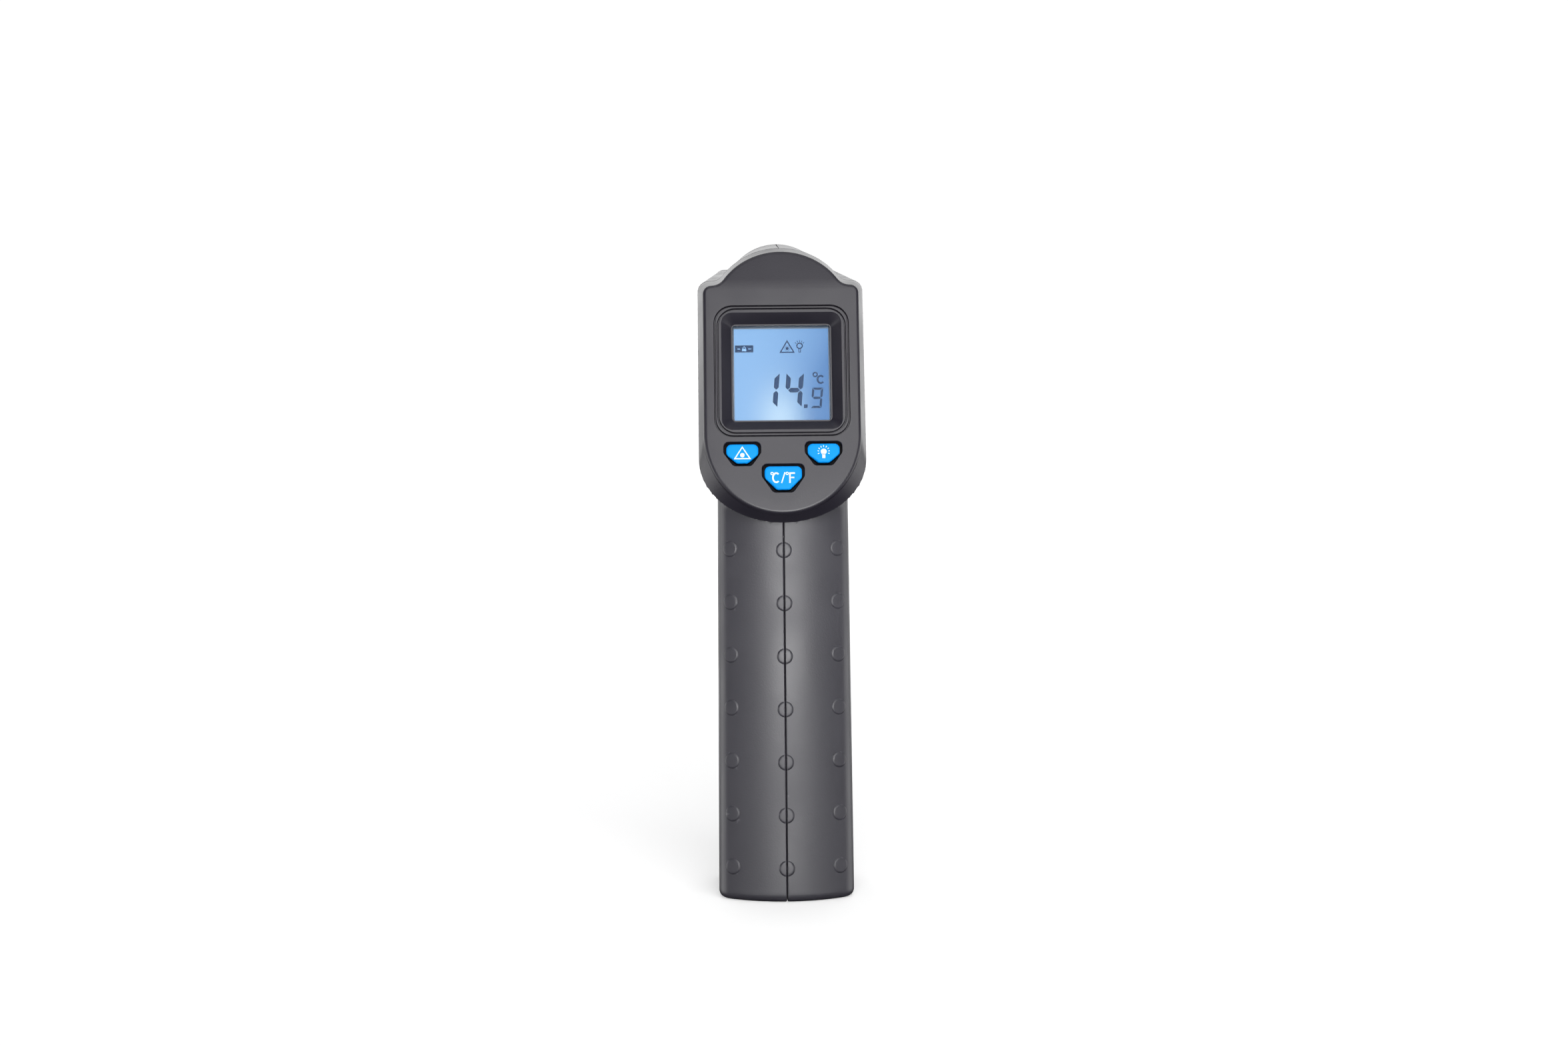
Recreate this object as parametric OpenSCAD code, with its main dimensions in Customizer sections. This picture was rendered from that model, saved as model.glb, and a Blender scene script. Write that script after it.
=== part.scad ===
// Pistol-grip infrared thermometer with a tilted display panel at the back of its head.
// The muzzle points to -Y, the display to +Y, and the holder's left hand side is +X.
// The origin is the middle of the bounding box's floor, on the flat heel of the grip.

/* [Overall size] */
// Height from the heel to the top of the barrel
body_height = 160; // [158:0.5:162]
// Depth from the muzzle to the heel
body_depth = 82; // [81:0.5:84]
// Width of the head where the panel cover meets the shells
head_width = 41.5; // [41:0.25:43]
// Moulded wall thickness
wall = 2; // [1.8:0.1:2.2]

/* [Grip] */
// Front-to-back depth of the grip
grip_depth = 35; // [34.5:0.25:36]
// Width of the grip at the heel
heel_width = 33.6; // [33:0.2:35]
// Backward rake of the grip
grip_rake = 7; // [6:0.5:8]
// Diameter of the raised grip dots
dot_d = 4; // [3:0.5:5]

/* [Display panel] */
// Forward lean of the panel from upright
panel_tilt = 18; // [17:0.5:19]
// Side of the square display opening
display_side = 24.2; // [22:0.2:25]
// Height of the display centre above the panel's lowest point
display_up = 38; // [37:0.5:39]

/* [Motion] */
// Free travel of the panel keys
key_travel = 0.5; // [0.3:0.1:0.6]
// Gap between a moving piece and its surroundings
gap = 0.3; // [0.2:0.05:0.4]

/* [Hidden] */
$fn = 48;

// Colours
shell_grey = [0.36, 0.37, 0.39];
cover_grey = [0.24, 0.24, 0.27];
black = [0.06, 0.06, 0.07];
key_blue = [0, 0.53, 0.88];
steel = [0.72, 0.73, 0.75];
brass = [0.78, 0.62, 0.32];
board_green = [0.08, 0.36, 0.2];

// Panel frame: lowest point of the flat face, and the face's length up the slope
heel_y = body_depth / 2;
face_length = 69.2;
lip_y = heel_y - 6;
lip_z = body_height - face_length * cos(panel_tilt);

// Head: every cross-section plane passes through one line above and ahead of the body
bezel_depth = 4;
front_y = -body_depth / 2 + bezel_depth;
skirt_low = 4;
skirt_high = 8;
joint_tilt = panel_tilt + atan((skirt_high - skirt_low) / face_length);
joint_y = lip_y - skirt_low * cos(panel_tilt);
joint_z = lip_z - skirt_low * sin(panel_tilt);
hub_z = joint_z + (joint_y - front_y) / tan(joint_tilt);
joint_half = head_width / 2;
front_half = 16.5;
front_bottom = body_height - 38;
joint_bottom = joint_z + 0.35;

// Grip: level sections that slide forward as they rise
heel_round = 2;
slope = tan(grip_rake);
grip_half_depth = grip_depth / 2;
neck_z = 94;
neck_half = 16.25;
grip_top = 130;
arc_r = 30;
corner_back = 4.5;
corner_front = 5;
dot_rows = 7;
dot_pitch = 13;
dot_low = 8.5;
dot_side = 13.3;
dot_rise = 0.3;
dot_turn = 7;

// Trigger: hinge line, lever to the switch, and slot
trigger_y = -6;
trigger_z = 121;
trigger_w = 14;
lever = 16;
pin_r = 1.25;
running = 0.05;
spring_z = 96;
spring_r = 2.1;
rib_y = 7;

// Battery door: hinge line and parting plane, both measured from the grip's front
door_hinge_z = 7.5;
door_roll_r = 5;
door_depth = 7;
door_top = 88;
door_ear = 11;
door_edge_r = 7.3;
trunnion_r = 1.5;
door_hinge_y = grip_mid(door_hinge_z) - grip_half_depth + door_roll_r;

// Battery, in the raked frame of the grip
battery_low = 14.5;
battery_body = 46.2;
battery_back = 1;
stud_side = 6.35;

// Sensor and laser axes
sensor_z = body_height - 16.5;
laser_z = body_height - 31.5;
tube_r = 9;
laser_r = 3;

// Depths of the layers behind the panel face
recess_depth = 2.2;
window_n = -3;
cell_n = -4.2;
guide_n = -6.1;
board_n = -9;
board_t = 1.6;
switch_h = 3.5;
plunger_r = 1.7;

// Panel keys: [across, up, top width, bottom width, height]
laser_key_at = [-10, 17, 7.9, 4.4, 4.8];
backlight_key_at = [10, 17, 7.9, 4.4, 4.8];
unit_key_at = [0, 10.85, 9.2, 4.8, 5.9];
board_screw_at = [[-8.2, 11], [8.2, 11], [-12.5, 56], [12.5, 56]];
shell_screw_at = [[29, 7], [21.5, 73], [11.5, 112], [-5, 143]];

function grip_mid(z) = heel_y - grip_half_depth - (z - heel_round) * slope;
function mix(a, b, t) = a + (b - a) * t;

// ---------- Outlines and lofts ----------

// Head outline as [across, up] pairs: elliptical bottom, upright sides, rounded
// shoulders, then a concave fillet into the barrel's hump.
function half_outline(w, low, ell, s, r, f, hump, top) =
    let (c = top - hump, dy = s + f - c, dx = sqrt(pow(hump + f, 2) - dy * dy))
    let (phi = atan2(dy, dx))
    concat(
        [for (i = [0:8]) [w * sin(90 * i / 8), low + ell - ell * cos(90 * i / 8)]],
        [for (i = [0:3]) [w - r + r * cos(30 * i), s - r + r * sin(30 * i)]],
        [for (i = [1:4]) let (a = 270 - (90 - phi) * i / 4) [dx + f * cos(a), s + f + f * sin(a)]],
        [for (i = [1:7]) let (a = phi + (90 - phi) * i / 7) [hump * cos(a), c + hump * sin(a)]]
    );

// Full ring from its right half, first and last points on the centre plane
function full_ring(h) = let (n = len(h)) concat(
    [for (i = [0:n - 1]) [-h[i][0], h[i][1]]],
    [for (i = [n - 2:-1:1]) h[i]]
);

// Head section at t = 0 (nose) to t = 1 (panel cover joint), inset by d
function head_ring(t, d) =
    let (tilt = joint_tilt * t, k = cos(tilt))
    let (low = -(hub_z - mix(front_bottom, joint_bottom, pow(max(t, 0), 2.2))) / k)
    let (s = -(hub_z - body_height + mix(6.7, 8, t)) / k, top = -(hub_z - body_height) / k)
    [for (p = full_ring(half_outline(mix(front_half, joint_half, t) - d, low + d,
            mix(13, 16, t) - d, s - d, mix(2.5, 2.9, t) - min(d, 2), mix(3, 3.2, t) + d,
            mix(14.2, 18.2, t) - d, top - d)))
        [p[0], front_y - p[1] * sin(tilt), hub_z + p[1] * cos(tilt)]];

// Cover section: outline inset by d, at depth n behind the panel face
function face_ring(d, depth) =
    [for (p = full_ring(half_outline(19.45 - d, d + 1.8, 20 - d, 60.2 - d, 2.2 - min(d, 1.9),
            3.8 + d, 17.4 - d, 69.2 - d)))
        [p[0], lip_y - p[1] * sin(panel_tilt) - depth * cos(panel_tilt),
            lip_z + p[1] * cos(panel_tilt) - depth * sin(panel_tilt)]];

// Grip section at height z, inset by d: shallow arcs front and back, rounded corners
function grip_ring(z, d) =
    let (a = mix(heel_width / 2, neck_half, (z - heel_round) / (neck_z - heel_round)))
    let (qf = sqrt(pow(arc_r - corner_front, 2) - pow(a - corner_front, 2)))
    let (qb = sqrt(pow(arc_r - corner_back, 2) - pow(a - corner_back, 2)))
    let (cf = -grip_half_depth + arc_r, cb = grip_half_depth - arc_r)
    let (pf = asin((a - corner_front) / (arc_r - corner_front)))
    let (pb = asin((a - corner_back) / (arc_r - corner_back)))
    let (half = concat(
        [for (i = [0:4]) let (g = pf * i / 4) [(arc_r - d) * sin(g), cf - (arc_r - d) * cos(g)]],
        [for (i = [1:4]) let (g = mix(pf - 90, 0, i / 4))
            [a - corner_front + (corner_front - d) * cos(g), cf - qf + (corner_front - d) * sin(g)]],
        [for (i = [0:4]) let (g = (90 - pb) * i / 4)
            [a - corner_back + (corner_back - d) * cos(g), cb + qb + (corner_back - d) * sin(g)]],
        [for (i = [1:4]) let (g = pb * (1 - i / 4)) [(arc_r - d) * sin(g), cb + (arc_r - d) * cos(g)]]
    ))
    let (n = len(half))
    [for (i = [0:2 * n - 3])
        let (p = i < n ? half[i] : half[2 * n - 2 - i])
        [i < n ? p[0] : -p[0], grip_mid(max(z, heel_round)) + p[1], z]];

// Closed solid through a stack of rings with equal counts of points
module loft(rings) {
    n = len(rings[0]);
    m = len(rings);
    polyhedron(
        points = [for (ring = rings) each ring],
        faces = concat(
            [[for (i = [0:n - 1]) i]],
            [[for (i = [n - 1:-1:0]) (m - 1) * n + i]],
            [for (k = [0:m - 2], i = [0:n - 1]) [k * n + i, (k + 1) * n + i, (k + 1) * n + (i + 1) % n]],
            [for (k = [0:m - 2], i = [0:n - 1]) [k * n + i, (k + 1) * n + (i + 1) % n, k * n + (i + 1) % n]]
        )
    );
}

// Takes its children as one moulded skin
module skin() {
    resize([0, 0, 0]) children();
}

module panel_frame() {
    translate([0, lip_y, lip_z]) rotate([90 - panel_tilt, 0, 180]) children();
}

module grip_frame() {
    translate([0, grip_mid(0), 0]) rotate([grip_rake, 0, 0]) children();
}

// Cylinder along X between two places
module cross_bar(x0, x1, y, z, r) {
    translate([x0, y, z]) rotate([0, 90, 0]) cylinder(h = x1 - x0, r = r);
}

// Cylinder along Y between two places
module barrel_bar(y0, y1, z, r, r_end = -1) {
    translate([0, y0, z]) rotate([-90, 0, 0])
        cylinder(h = y1 - y0, r1 = r, r2 = r_end < 0 ? r : r_end);
}

module rounded_square(side, r) {
    offset(r = r) square(side - 2 * r, center = true);
}

// Slab of the panel frame between two depths
module panel_slab(n0, n1) {
    panel_frame() translate([0, 0, n0]) linear_extrude(height = n1 - n0) children();
}

// Eight-sided flexible lead swept along its points
module lead(path, r) {
    n = len(path);
    rings = [for (i = [0:n - 1])
        let (t = path[min(i + 1, n - 1)] - path[max(i - 1, 0)])
        let (w = t / norm(t), ref = abs(w[0]) > 0.9 ? [0, 0, 1] : [1, 0, 0])
        let (u = cross(w, ref) / norm(cross(w, ref)), v = cross(w, u))
        [for (k = [0:7]) path[i] + r * (cos(45 * k) * u + sin(45 * k) * v)]];
    loft(rings);
}

// Smooth path through control points, with steps pieces between each pair
function smooth(p, steps) = concat(
    [for (i = [0:len(p) - 2], j = [0:steps - 1])
        let (t = j / steps, a = p[max(i - 1, 0)], b = p[i], c = p[i + 1], d = p[min(i + 2, len(p) - 1)])
        0.5 * (2 * b + (c - a) * t + (2 * a - 5 * b + 4 * c - d) * t * t
            + (3 * b - a - 3 * c + d) * t * t * t)],
    [p[len(p) - 1]]
);

// ---------- Body shells ----------

head_steps = [0, 0.16, 0.31, 0.47, 0.62, 0.76, 0.89, 1];

module head_solid(d) {
    loft([for (t = head_steps) head_ring(d > 0 ? mix(-0.08, 1.08, t) : t, d)]);
}

module grip_solid(d) {
    low = d > 0
        ? [grip_ring(wall, d), grip_ring(wall + 1, d)]
        : [grip_ring(0, 1.6), grip_ring(0.3, 0.85), grip_ring(0.9, 0.3), grip_ring(heel_round, 0)];
    loft(concat(low, [grip_ring(neck_z / 2, d), grip_ring(neck_z, d), grip_ring(grip_top, d)]));
}

module grip_dots() {
    for (row = [0:dot_rows - 1], side = [-1, 0, 1]) {
        z = dot_low + row * dot_pitch;
        turn = side * asin(dot_side / arc_r);
        translate([0, grip_mid(z) + grip_half_depth - arc_r, z])
            rotate([0, 0, -turn]) rotate([-90, 0, 0]) rotate(dot_turn)
                cylinder(h = arc_r + dot_rise, r = dot_d / 2, $fn = 16);
    }
}

// Slab across the head that carries the sensor tube and the laser
module cradle(y) {
    intersection() {
        head_solid(0.5);
        translate([-25, y, laser_z - 5]) cube([50, 2, 60]);
    }
}

module shell_posts() {
    for (p = shell_screw_at) cross_bar(-22, 22, p[0], p[1], 3, $fn = 24);
    cross_bar(-22, -trigger_w / 2 - gap, trigger_y, trigger_z, 3, $fn = 24);
    cross_bar(trigger_w / 2 + gap, 22, trigger_y, trigger_z, 3, $fn = 24);
}

// Rib that the trigger spring pushes against
module spring_rib() {
    translate([-16, rib_y, spring_z - 7]) cube([32, 1.5, 9]);
}

// Opening for the trigger in the grip's front and the head's underside
module trigger_slot() {
    half = trigger_w / 2 + gap;
    translate([-half, -16.6, door_top + 2.5]) cube([2 * half, 16.6, 35.5]);
}

// Opening for the battery door, wider than the door by the gap; its lower edge
// follows a circle about the hinge so the door swings clear
module door_opening(extra) {
    ear = door_ear + extra;
    intersection() {
        grip_frame() translate([-30, -30, door_hinge_z])
            cube([60, 30 - grip_half_depth + door_depth + extra, door_top - door_hinge_z + extra]);
        union() {
            difference() {
                translate([-30, -40, door_hinge_z + 2]) cube([60, 80, 100]);
                cross_bar(-31, 31, door_hinge_y, door_hinge_z, door_edge_r - extra);
            }
            translate([-ear, -40, 0]) cube([2 * ear, 80, 100]);
        }
    }
}

// Mouth in front of the door's roll, open down to the heel's rounding
module roll_mouth() {
    translate([-door_ear - gap, -10, door_hinge_z - door_roll_r - gap])
        cube([2 * (door_ear + gap), door_hinge_y + 10, door_roll_r]);
}

module shell_body() {
    difference() {
        union() {
            difference() {
                union() {
                    head_solid(0);
                    grip_under_joint();
                    grip_dots();
                }
                head_solid(wall);
                grip_solid(wall);
            }
            intersection() {
                union() {
                    head_solid(0.5);
                    grip_solid(0.5);
                }
                union() {
                    shell_posts();
                    spring_rib();
                    door_ears();
                }
            }
            cradle(-30);
            cradle(-20);
        }
        trigger_slot();
        door_opening(gap);
        roll_mouth();
    }
}

// The grip's upper end stops just inside the head, short of the cover joint
module grip_under_joint() {
    difference() {
        grip_solid(0);
        translate([0, joint_y, joint_z]) rotate([-joint_tilt + 90, 0, 180])
            translate([-40, 2, -0.6]) cube([80, 160, 60]);
    }
}

// Cheeks beside the door's roll that hold its trunnions
module door_ears() {
    for (side = [0, 1]) mirror([side, 0, 0])
        translate([door_ear + gap, 0, 0.5]) cube([8, 16, door_hinge_z + 3]);
}

// Bores shared by both halves
module shell_bores() {
    cross_bar(-13, 13, trigger_y, trigger_z, pin_r + 0.02);
    cross_bar(-13.5, 13.5, door_hinge_y, door_hinge_z, trunnion_r + running);
    cross_bar(-door_ear - gap, door_ear + gap, door_hinge_y, door_hinge_z, door_roll_r + gap);
    barrel_bar(-31, -17, sensor_z, tube_r + 0.02);
    barrel_bar(-31, -17, laser_z, laser_r + 0.02);
}

module left_shell() {
    color(shell_grey) difference() {
        skin() intersection() {
            shell_body();
            translate([0, -100, -1]) cube([100, 200, 200]);
        }
        shell_bores();
        for (p = shell_screw_at) cross_bar(-1, 8.2, p[0], p[1], 1.36);
    }
}

module right_shell() {
    color(shell_grey) difference() {
        skin() intersection() {
            shell_body();
            translate([-100, -100, -1]) cube([100, 200, 200]);
        }
        shell_bores();
        for (p = shell_screw_at) {
            cross_bar(-30, 1, p[0], p[1], 1.5);
            cross_bar(-30, -9, p[0], p[1], 2.6);
        }
    }
}

module nose_bezel() {
    outline = [for (p = head_ring(0, 0)) [p[0], p[2]]];
    spigot = [for (p = head_ring(0, wall + 0.2)) [p[0], p[2]]];
    color(black) difference() {
        translate([0, front_y, 0]) rotate([90, 0, 0]) {
            linear_extrude(height = bezel_depth) polygon(outline);
            translate([0, 0, -3]) linear_extrude(height = 3.5) polygon(spigot);
        }
        barrel_bar(front_y - 5, front_y + 4, sensor_z, tube_r + 0.1);
        barrel_bar(front_y - 5, front_y + 4, laser_z, 1.8);
        barrel_bar(front_y - 1.6, front_y + 4, laser_z, laser_r + 0.05);
        barrel_bar(-body_depth / 2 - 0.1, front_y, sensor_z, 12.5, tube_r + 0.1);
    }
}

// ---------- Rear cover and display ----------

// Half space above the bend in the hump of the cover, lowered by d
module hump_lean(d) {
    panel_frame() translate([0, 60, -d]) rotate([-9, 0, 0])
        translate([-40, 0, 0]) cube([80, 40, 20]);
}

module key_shape(k, grow) {
    r = 1.3;
    w1 = k[2] / 2 + grow - r;
    w0 = k[3] / 2 + grow - r;
    h = k[4] / 2 + grow - r;
    translate([k[0], k[1]]) offset(r = r, $fn = 24)
        polygon([[-w0, -h], [w0, -h], [w1, h * 0.35], [w1, h], [-w1, h], [-w1, h * 0.35]]);
}

module groove(side) {
    panel_slab(-0.35, 1) translate([0, display_up]) difference() {
        rounded_square(side, 4.6, $fn = 24);
        rounded_square(side - 0.8, 4.2, $fn = 24);
    }
}

module display_recess() {
    panel_frame() translate([0, display_up, 0]) {
        hull() {
            linear_extrude(height = 0.01) rounded_square(29.4, 2.5, $fn = 24);
            translate([0, 0, -recess_depth]) linear_extrude(height = 0.01)
                rounded_square(24.9, 1.2, $fn = 24);
        }
        linear_extrude(height = 3) rounded_square(29.4, 2.5, $fn = 24);
        translate([0, 0, -6]) linear_extrude(height = 6) rounded_square(display_side, 0.6, $fn = 24);
    }
}

module rear_cover() {
    color(cover_grey) difference() {
        skin() difference() {
            union() {
                difference() {
                    loft([head_ring(1, 0), face_ring(0, 1), face_ring(0.3, 0.3), face_ring(1, 0)]);
                    hump_lean(0);
                    difference() {
                        loft([head_ring(0.95, wall), face_ring(wall, wall + 1), face_ring(wall + 1, wall)]);
                        hump_lean(wall);
                    }
                }
                panel_slab(window_n, -1) translate([0, display_up]) rounded_square(32, 3, $fn = 24);
                for (p = board_screw_at) panel_slab(board_n, -1) translate(p) circle(r = 1.9, $fn = 20);
            }
            display_recess();
            groove(33.5);
            groove(32);
            for (k = [laser_key_at, unit_key_at, backlight_key_at])
                panel_slab(-6, 3) key_shape(k, 0.6);
        }
        for (p = board_screw_at) panel_slab(board_n - 1, -wall - 1) translate(p) circle(r = 0.92);
    }
}

module display_window() {
    color([0.75, 0.86, 0.95, 0.5])
        panel_slab(window_n - 1, window_n) translate([0, display_up]) square(26.4, center = true);
}

module lcd_cell() {
    color([0.6, 0.78, 0.96])
        panel_slab(cell_n - 1.8, cell_n) translate([0, display_up]) square([26.8, 27.6], center = true);
}

module backlight_guide() {
    color([0.8, 0.9, 1])
        panel_slab(guide_n - 2, guide_n) translate([0, display_up + 1.4]) square([26.4, 24.4], center = true);
}

module backlight_leds() {
    color("white") for (x = [-6, 6])
        panel_slab(board_n, board_n + 2.6) translate([x, display_up - 12.1]) square([3, 1.2], center = true);
}

module zebra_strip() {
    color([0.5, 0.2, 0.2])
        panel_slab(board_n, cell_n - 1.8) translate([0, display_up - 13.25]) square([26, 0.9], center = true);
}

module lcd_frame() {
    color([0.9, 0.9, 0.92]) panel_slab(board_n, window_n - 1) translate([0, display_up]) difference() {
        square([29, 29.8], center = true);
        square([27, 27.8], center = true);
    }
}

module main_board() {
    color(board_green) difference() {
        panel_slab(board_n - board_t, board_n)
            polygon([[-9, 8.7], [9, 8.7], [12, 12.5], [14, 16.5], [16, 21.5], [16.5, 26], [16.5, 58.5],
                [-16.5, 58.5], [-16.5, 26], [-16, 21.5], [-14, 16.5], [-12, 12.5]]);
        for (p = board_screw_at) panel_slab(board_n - 3, board_n + 1) translate(p) circle(r = 1.1);
    }
}

module key_switches() {
    color([0.15, 0.15, 0.16]) for (k = [laser_key_at, unit_key_at, backlight_key_at]) difference() {
        panel_slab(board_n, board_n + switch_h) translate([k[0], k[1]]) square(4.3, center = true);
        panel_slab(board_n + 1.4, board_n + switch_h + 1) translate([k[0], k[1]]) circle(r = plunger_r + 0.06);
    }
}

module controller_chip() {
    color(black) panel_slab(board_n - board_t - 1.6, board_n - board_t)
        translate([-3, 34]) square(10, center = true);
}

module buzzer() {
    color(black) difference() {
        panel_slab(board_n - board_t - 4, board_n - board_t) translate([9, 49]) circle(r = 4.5);
        panel_slab(board_n - board_t - 5, board_n - board_t - 3) translate([9, 49]) circle(r = 0.9);
    }
}

module board_screws() {
    color(steel) for (p = board_screw_at) {
        panel_slab(board_n - board_t - 1.2, board_n - board_t) translate(p) circle(r = 1.8);
        panel_slab(board_n - board_t, board_n + 5) translate(p) circle(r = 0.9);
    }
}

// ---------- Panel keys ----------

module key_cap(k) {
    color(key_blue) {
        panel_slab(-wall - gap - 1.1, -wall - gap) key_shape(k, 1.3);
        panel_slab(-wall - gap - 1, 0.1) key_shape(k, 0);
        panel_slab(-1, 0.4) key_shape(k, -0.35);
    }
}

module key_plunger(k) {
    color([0.85, 0.85, 0.82])
        panel_slab(board_n + 1.4 + key_travel + 0.2, -wall - gap - 1.1)
            translate([k[0], k[1]]) circle(r = plunger_r);
}

module laser_key() { key_cap(laser_key_at); }
module laser_plunger() { key_plunger(laser_key_at); }
module unit_key() { key_cap(unit_key_at); }
module unit_plunger() { key_plunger(unit_key_at); }
module backlight_key() { key_cap(backlight_key_at); }
module backlight_plunger() { key_plunger(backlight_key_at); }

// ---------- Sensor and laser ----------

module sensor_tube() {
    color([0.2, 0.2, 0.21]) difference() {
        union() {
            barrel_bar(front_y - 0.5, -14.5, sensor_z, tube_r);
            barrel_bar(-17, -14.5, sensor_z, tube_r + 1.5);
        }
        barrel_bar(front_y - 1, front_y + 3.5, sensor_z, 7.6);
        barrel_bar(front_y - 1, -10, sensor_z, 6.4);
        barrel_bar(-24, -10, sensor_z, 7.6);
    }
}

module lens() {
    color([0.93, 0.94, 0.92, 0.8]) barrel_bar(front_y + 2.3, front_y + 3.5, sensor_z, 7.5);
}

module lens_ring() {
    color(black) difference() {
        barrel_bar(front_y - 0.4, front_y + 2.3, sensor_z, 7.55);
        barrel_bar(front_y - 1, front_y + 3, sensor_z, 6.4);
    }
}

module thermopile() {
    color(steel) {
        barrel_bar(-22, -18.1, sensor_z, 4.1);
        barrel_bar(-18.1, -17.5, sensor_z, 4.6);
        for (a = [45:90:315])
            translate([1.8 * cos(a), 0, 1.8 * sin(a)]) barrel_bar(-17.5, -15.2, sensor_z, 0.22);
    }
}

module sensor_board() {
    color(board_green) difference() {
        barrel_bar(-17.2, -16, sensor_z, 7.4);
        for (a = [45:90:315])
            translate([1.8 * cos(a), 0, 1.8 * sin(a)]) barrel_bar(-18, -15, sensor_z, 0.3);
    }
}

// Flat flexible cable from the sensor board to the main board
module sensor_ribbon() {
    color([0.85, 0.6, 0.2]) translate([-2.5, 0, 0]) rotate([90, 0, 90]) linear_extrude(height = 5)
        polygon([[-15.95, 138], [-13.6, 138], [-13.6, 133.7], [10.9, 133.7], [10.9, 133.4], [-13.9, 133.4],
            [-13.9, 137.7], [-15.95, 137.7]]);
}

module laser_module() {
    color(brass) difference() {
        barrel_bar(front_y + 0.1, -22, laser_z, laser_r);
        barrel_bar(front_y - 1, front_y + 1.5, laser_z, 1.5);
    }
}

module laser_window() {
    color([0.8, 0.3, 0.3, 0.6]) barrel_bar(front_y - 1.5, front_y - 0.4, laser_z, laser_r - 0.05);
}

module laser_lead() {
    color([0.7, 0.1, 0.1]) lead(smooth([
        [0, -21.9, laser_z], [0, -17, laser_z], [2, -11, 129.5], [4, -4, 130.5], [5, 3, 130.3], [5, 11.6, 130.2]
    ], 4), 0.5);
}

// ---------- Trigger ----------

module trigger() {
    color(key_blue) difference() {
        translate([-trigger_w / 2, 0, 0]) rotate([90, 0, 90]) linear_extrude(height = trigger_w)
            polygon(concat(
                [for (i = [0:10]) let (u = i / 10)
                    [mix(-14.8, -15.9, u) + 3.1 * sin(180 * u), mix(118.5, 92.6, u)]],
                [for (a = [200:20:320]) [-14.4 + 1.6 * cos(a), 92.4 + 1.6 * sin(a)]],
                [[-9.5, 92.6], [-2, 92.6], [-2, 103.6]],
                [for (a = [-80:20:80]) [-1 + 1.5 * cos(a), trigger_z - lever + 1.5 * sin(a)]],
                [[-2, 106.5], [-2.6, 119]],
                [for (a = [0:20:120]) [trigger_y + 3.6 * cos(a), trigger_z + 3.6 * sin(a)]],
                [[-12, 121]]
            ));
        cross_bar(-10, 10, trigger_y, trigger_z, pin_r + running);
        // pocket for the return spring
        barrel_bar(-6, 1, spring_z, spring_r + 0.8);
    }
}

module trigger_pin() {
    color(steel) cross_bar(-12.8, 12.8, trigger_y, trigger_z, pin_r);
}

// Return spring between the trigger and the rib behind it
module trigger_spring() {
    color(steel) lead([for (i = [0:56])
        [spring_r * cos(i * 45), mix(-5.6, rib_y - 0.4, i / 56), spring_z + spring_r * sin(i * 45)]], 0.3);
}

module switch_board() {
    color(board_green) translate([-7, 9.3, 98.5]) cube([14, 1.2, 10]);
}

module trigger_switch() {
    color([0.15, 0.15, 0.16]) difference() {
        translate([-3.2, 3.8, trigger_z - lever - 3.2]) cube([6.4, 5.5, 6.4]);
        barrel_bar(3, 6.8, trigger_z - lever, 1.26);
    }
}

module switch_plunger() {
    color([0.85, 0.2, 0.15]) barrel_bar(0.55, 5, trigger_z - lever, 1.2);
}

// ---------- Battery ----------

module battery_place() {
    grip_frame() translate([0, -battery_back, battery_low]) children();
}

module battery() {
    color([0.15, 0.15, 0.18]) battery_place() linear_extrude(height = battery_body)
        polygon([for (c = [[1, 1, 0], [-1, 1, 90], [-1, -1, 180], [1, -1, 270]], a = [0:30:90])
            [c[0] * 11.75 + 1.5 * cos(c[2] + a), c[1] * 7.25 + 1.5 * sin(c[2] + a)]]);
}

module battery_terminals() {
    color(steel) battery_place() translate([0, 0, battery_body]) {
        translate([-stud_side, 0, 0]) cylinder(h = 2.3, r = 2.9);
        translate([stud_side, 0, 0]) difference() {
            cylinder(h = 2.3, r = 3.9);
            translate([0, 0, 0.6]) cylinder(h = 3, r = 2.9);
        }
    }
}

module battery_snap() {
    color(black) battery_place() translate([0, 0, battery_body + 0.2]) difference() {
        translate([-12.5, -6, 0]) cube([25, 12, 4.6]);
        translate([-stud_side, 0, -1]) cylinder(h = 3.4, r = 3.2);
        translate([stud_side, 0, -1]) cylinder(h = 3.4, r = 4.1);
    }
}

module lead_red() {
    color([0.75, 0.08, 0.08]) lead(smooth([
        [9, 14.2, 65.6], [9.4, 13.4, 72], [10, 14, 82], [10.5, 15.5, 92], [10.2, 15.8, 99], [9.5, 17.6, 103.5],
        [9.2, 19.2, 106]
    ], 4), 0.6);
}

module lead_black() {
    color([0.1, 0.1, 0.1]) lead(smooth([
        [-9, 14.2, 65.6], [-9.4, 13.4, 72], [-10, 14, 82], [-10.5, 15.5, 92], [-10.2, 15.8, 99],
        [-9.5, 17.6, 103.5], [-9.2, 19.2, 106]
    ], 4), 0.6);
}

module battery_door() {
    color(shell_grey) {
        skin() difference() {
            intersection() {
                difference() {
                    grip_solid(0);
                    grip_solid(wall);
                }
                door_opening(0);
            }
            cross_bar(-20, 20, door_hinge_y, door_hinge_z, door_roll_r - 1.5);
        }
        difference() {
            cross_bar(-door_ear, door_ear, door_hinge_y, door_hinge_z, door_roll_r);
            cross_bar(-door_ear + 2, door_ear - 2, door_hinge_y, door_hinge_z, door_roll_r - 1.8);
        }
        cross_bar(-13, -door_ear, door_hinge_y, door_hinge_z, trunnion_r);
        cross_bar(door_ear, 13, door_hinge_y, door_hinge_z, trunnion_r);
    }
}

module battery_pad() {
    color([0.2, 0.2, 0.2]) grip_frame()
        translate([-9, -grip_half_depth + wall + 1.8, 22]) cube([18, 3.4, 34]);
}

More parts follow.
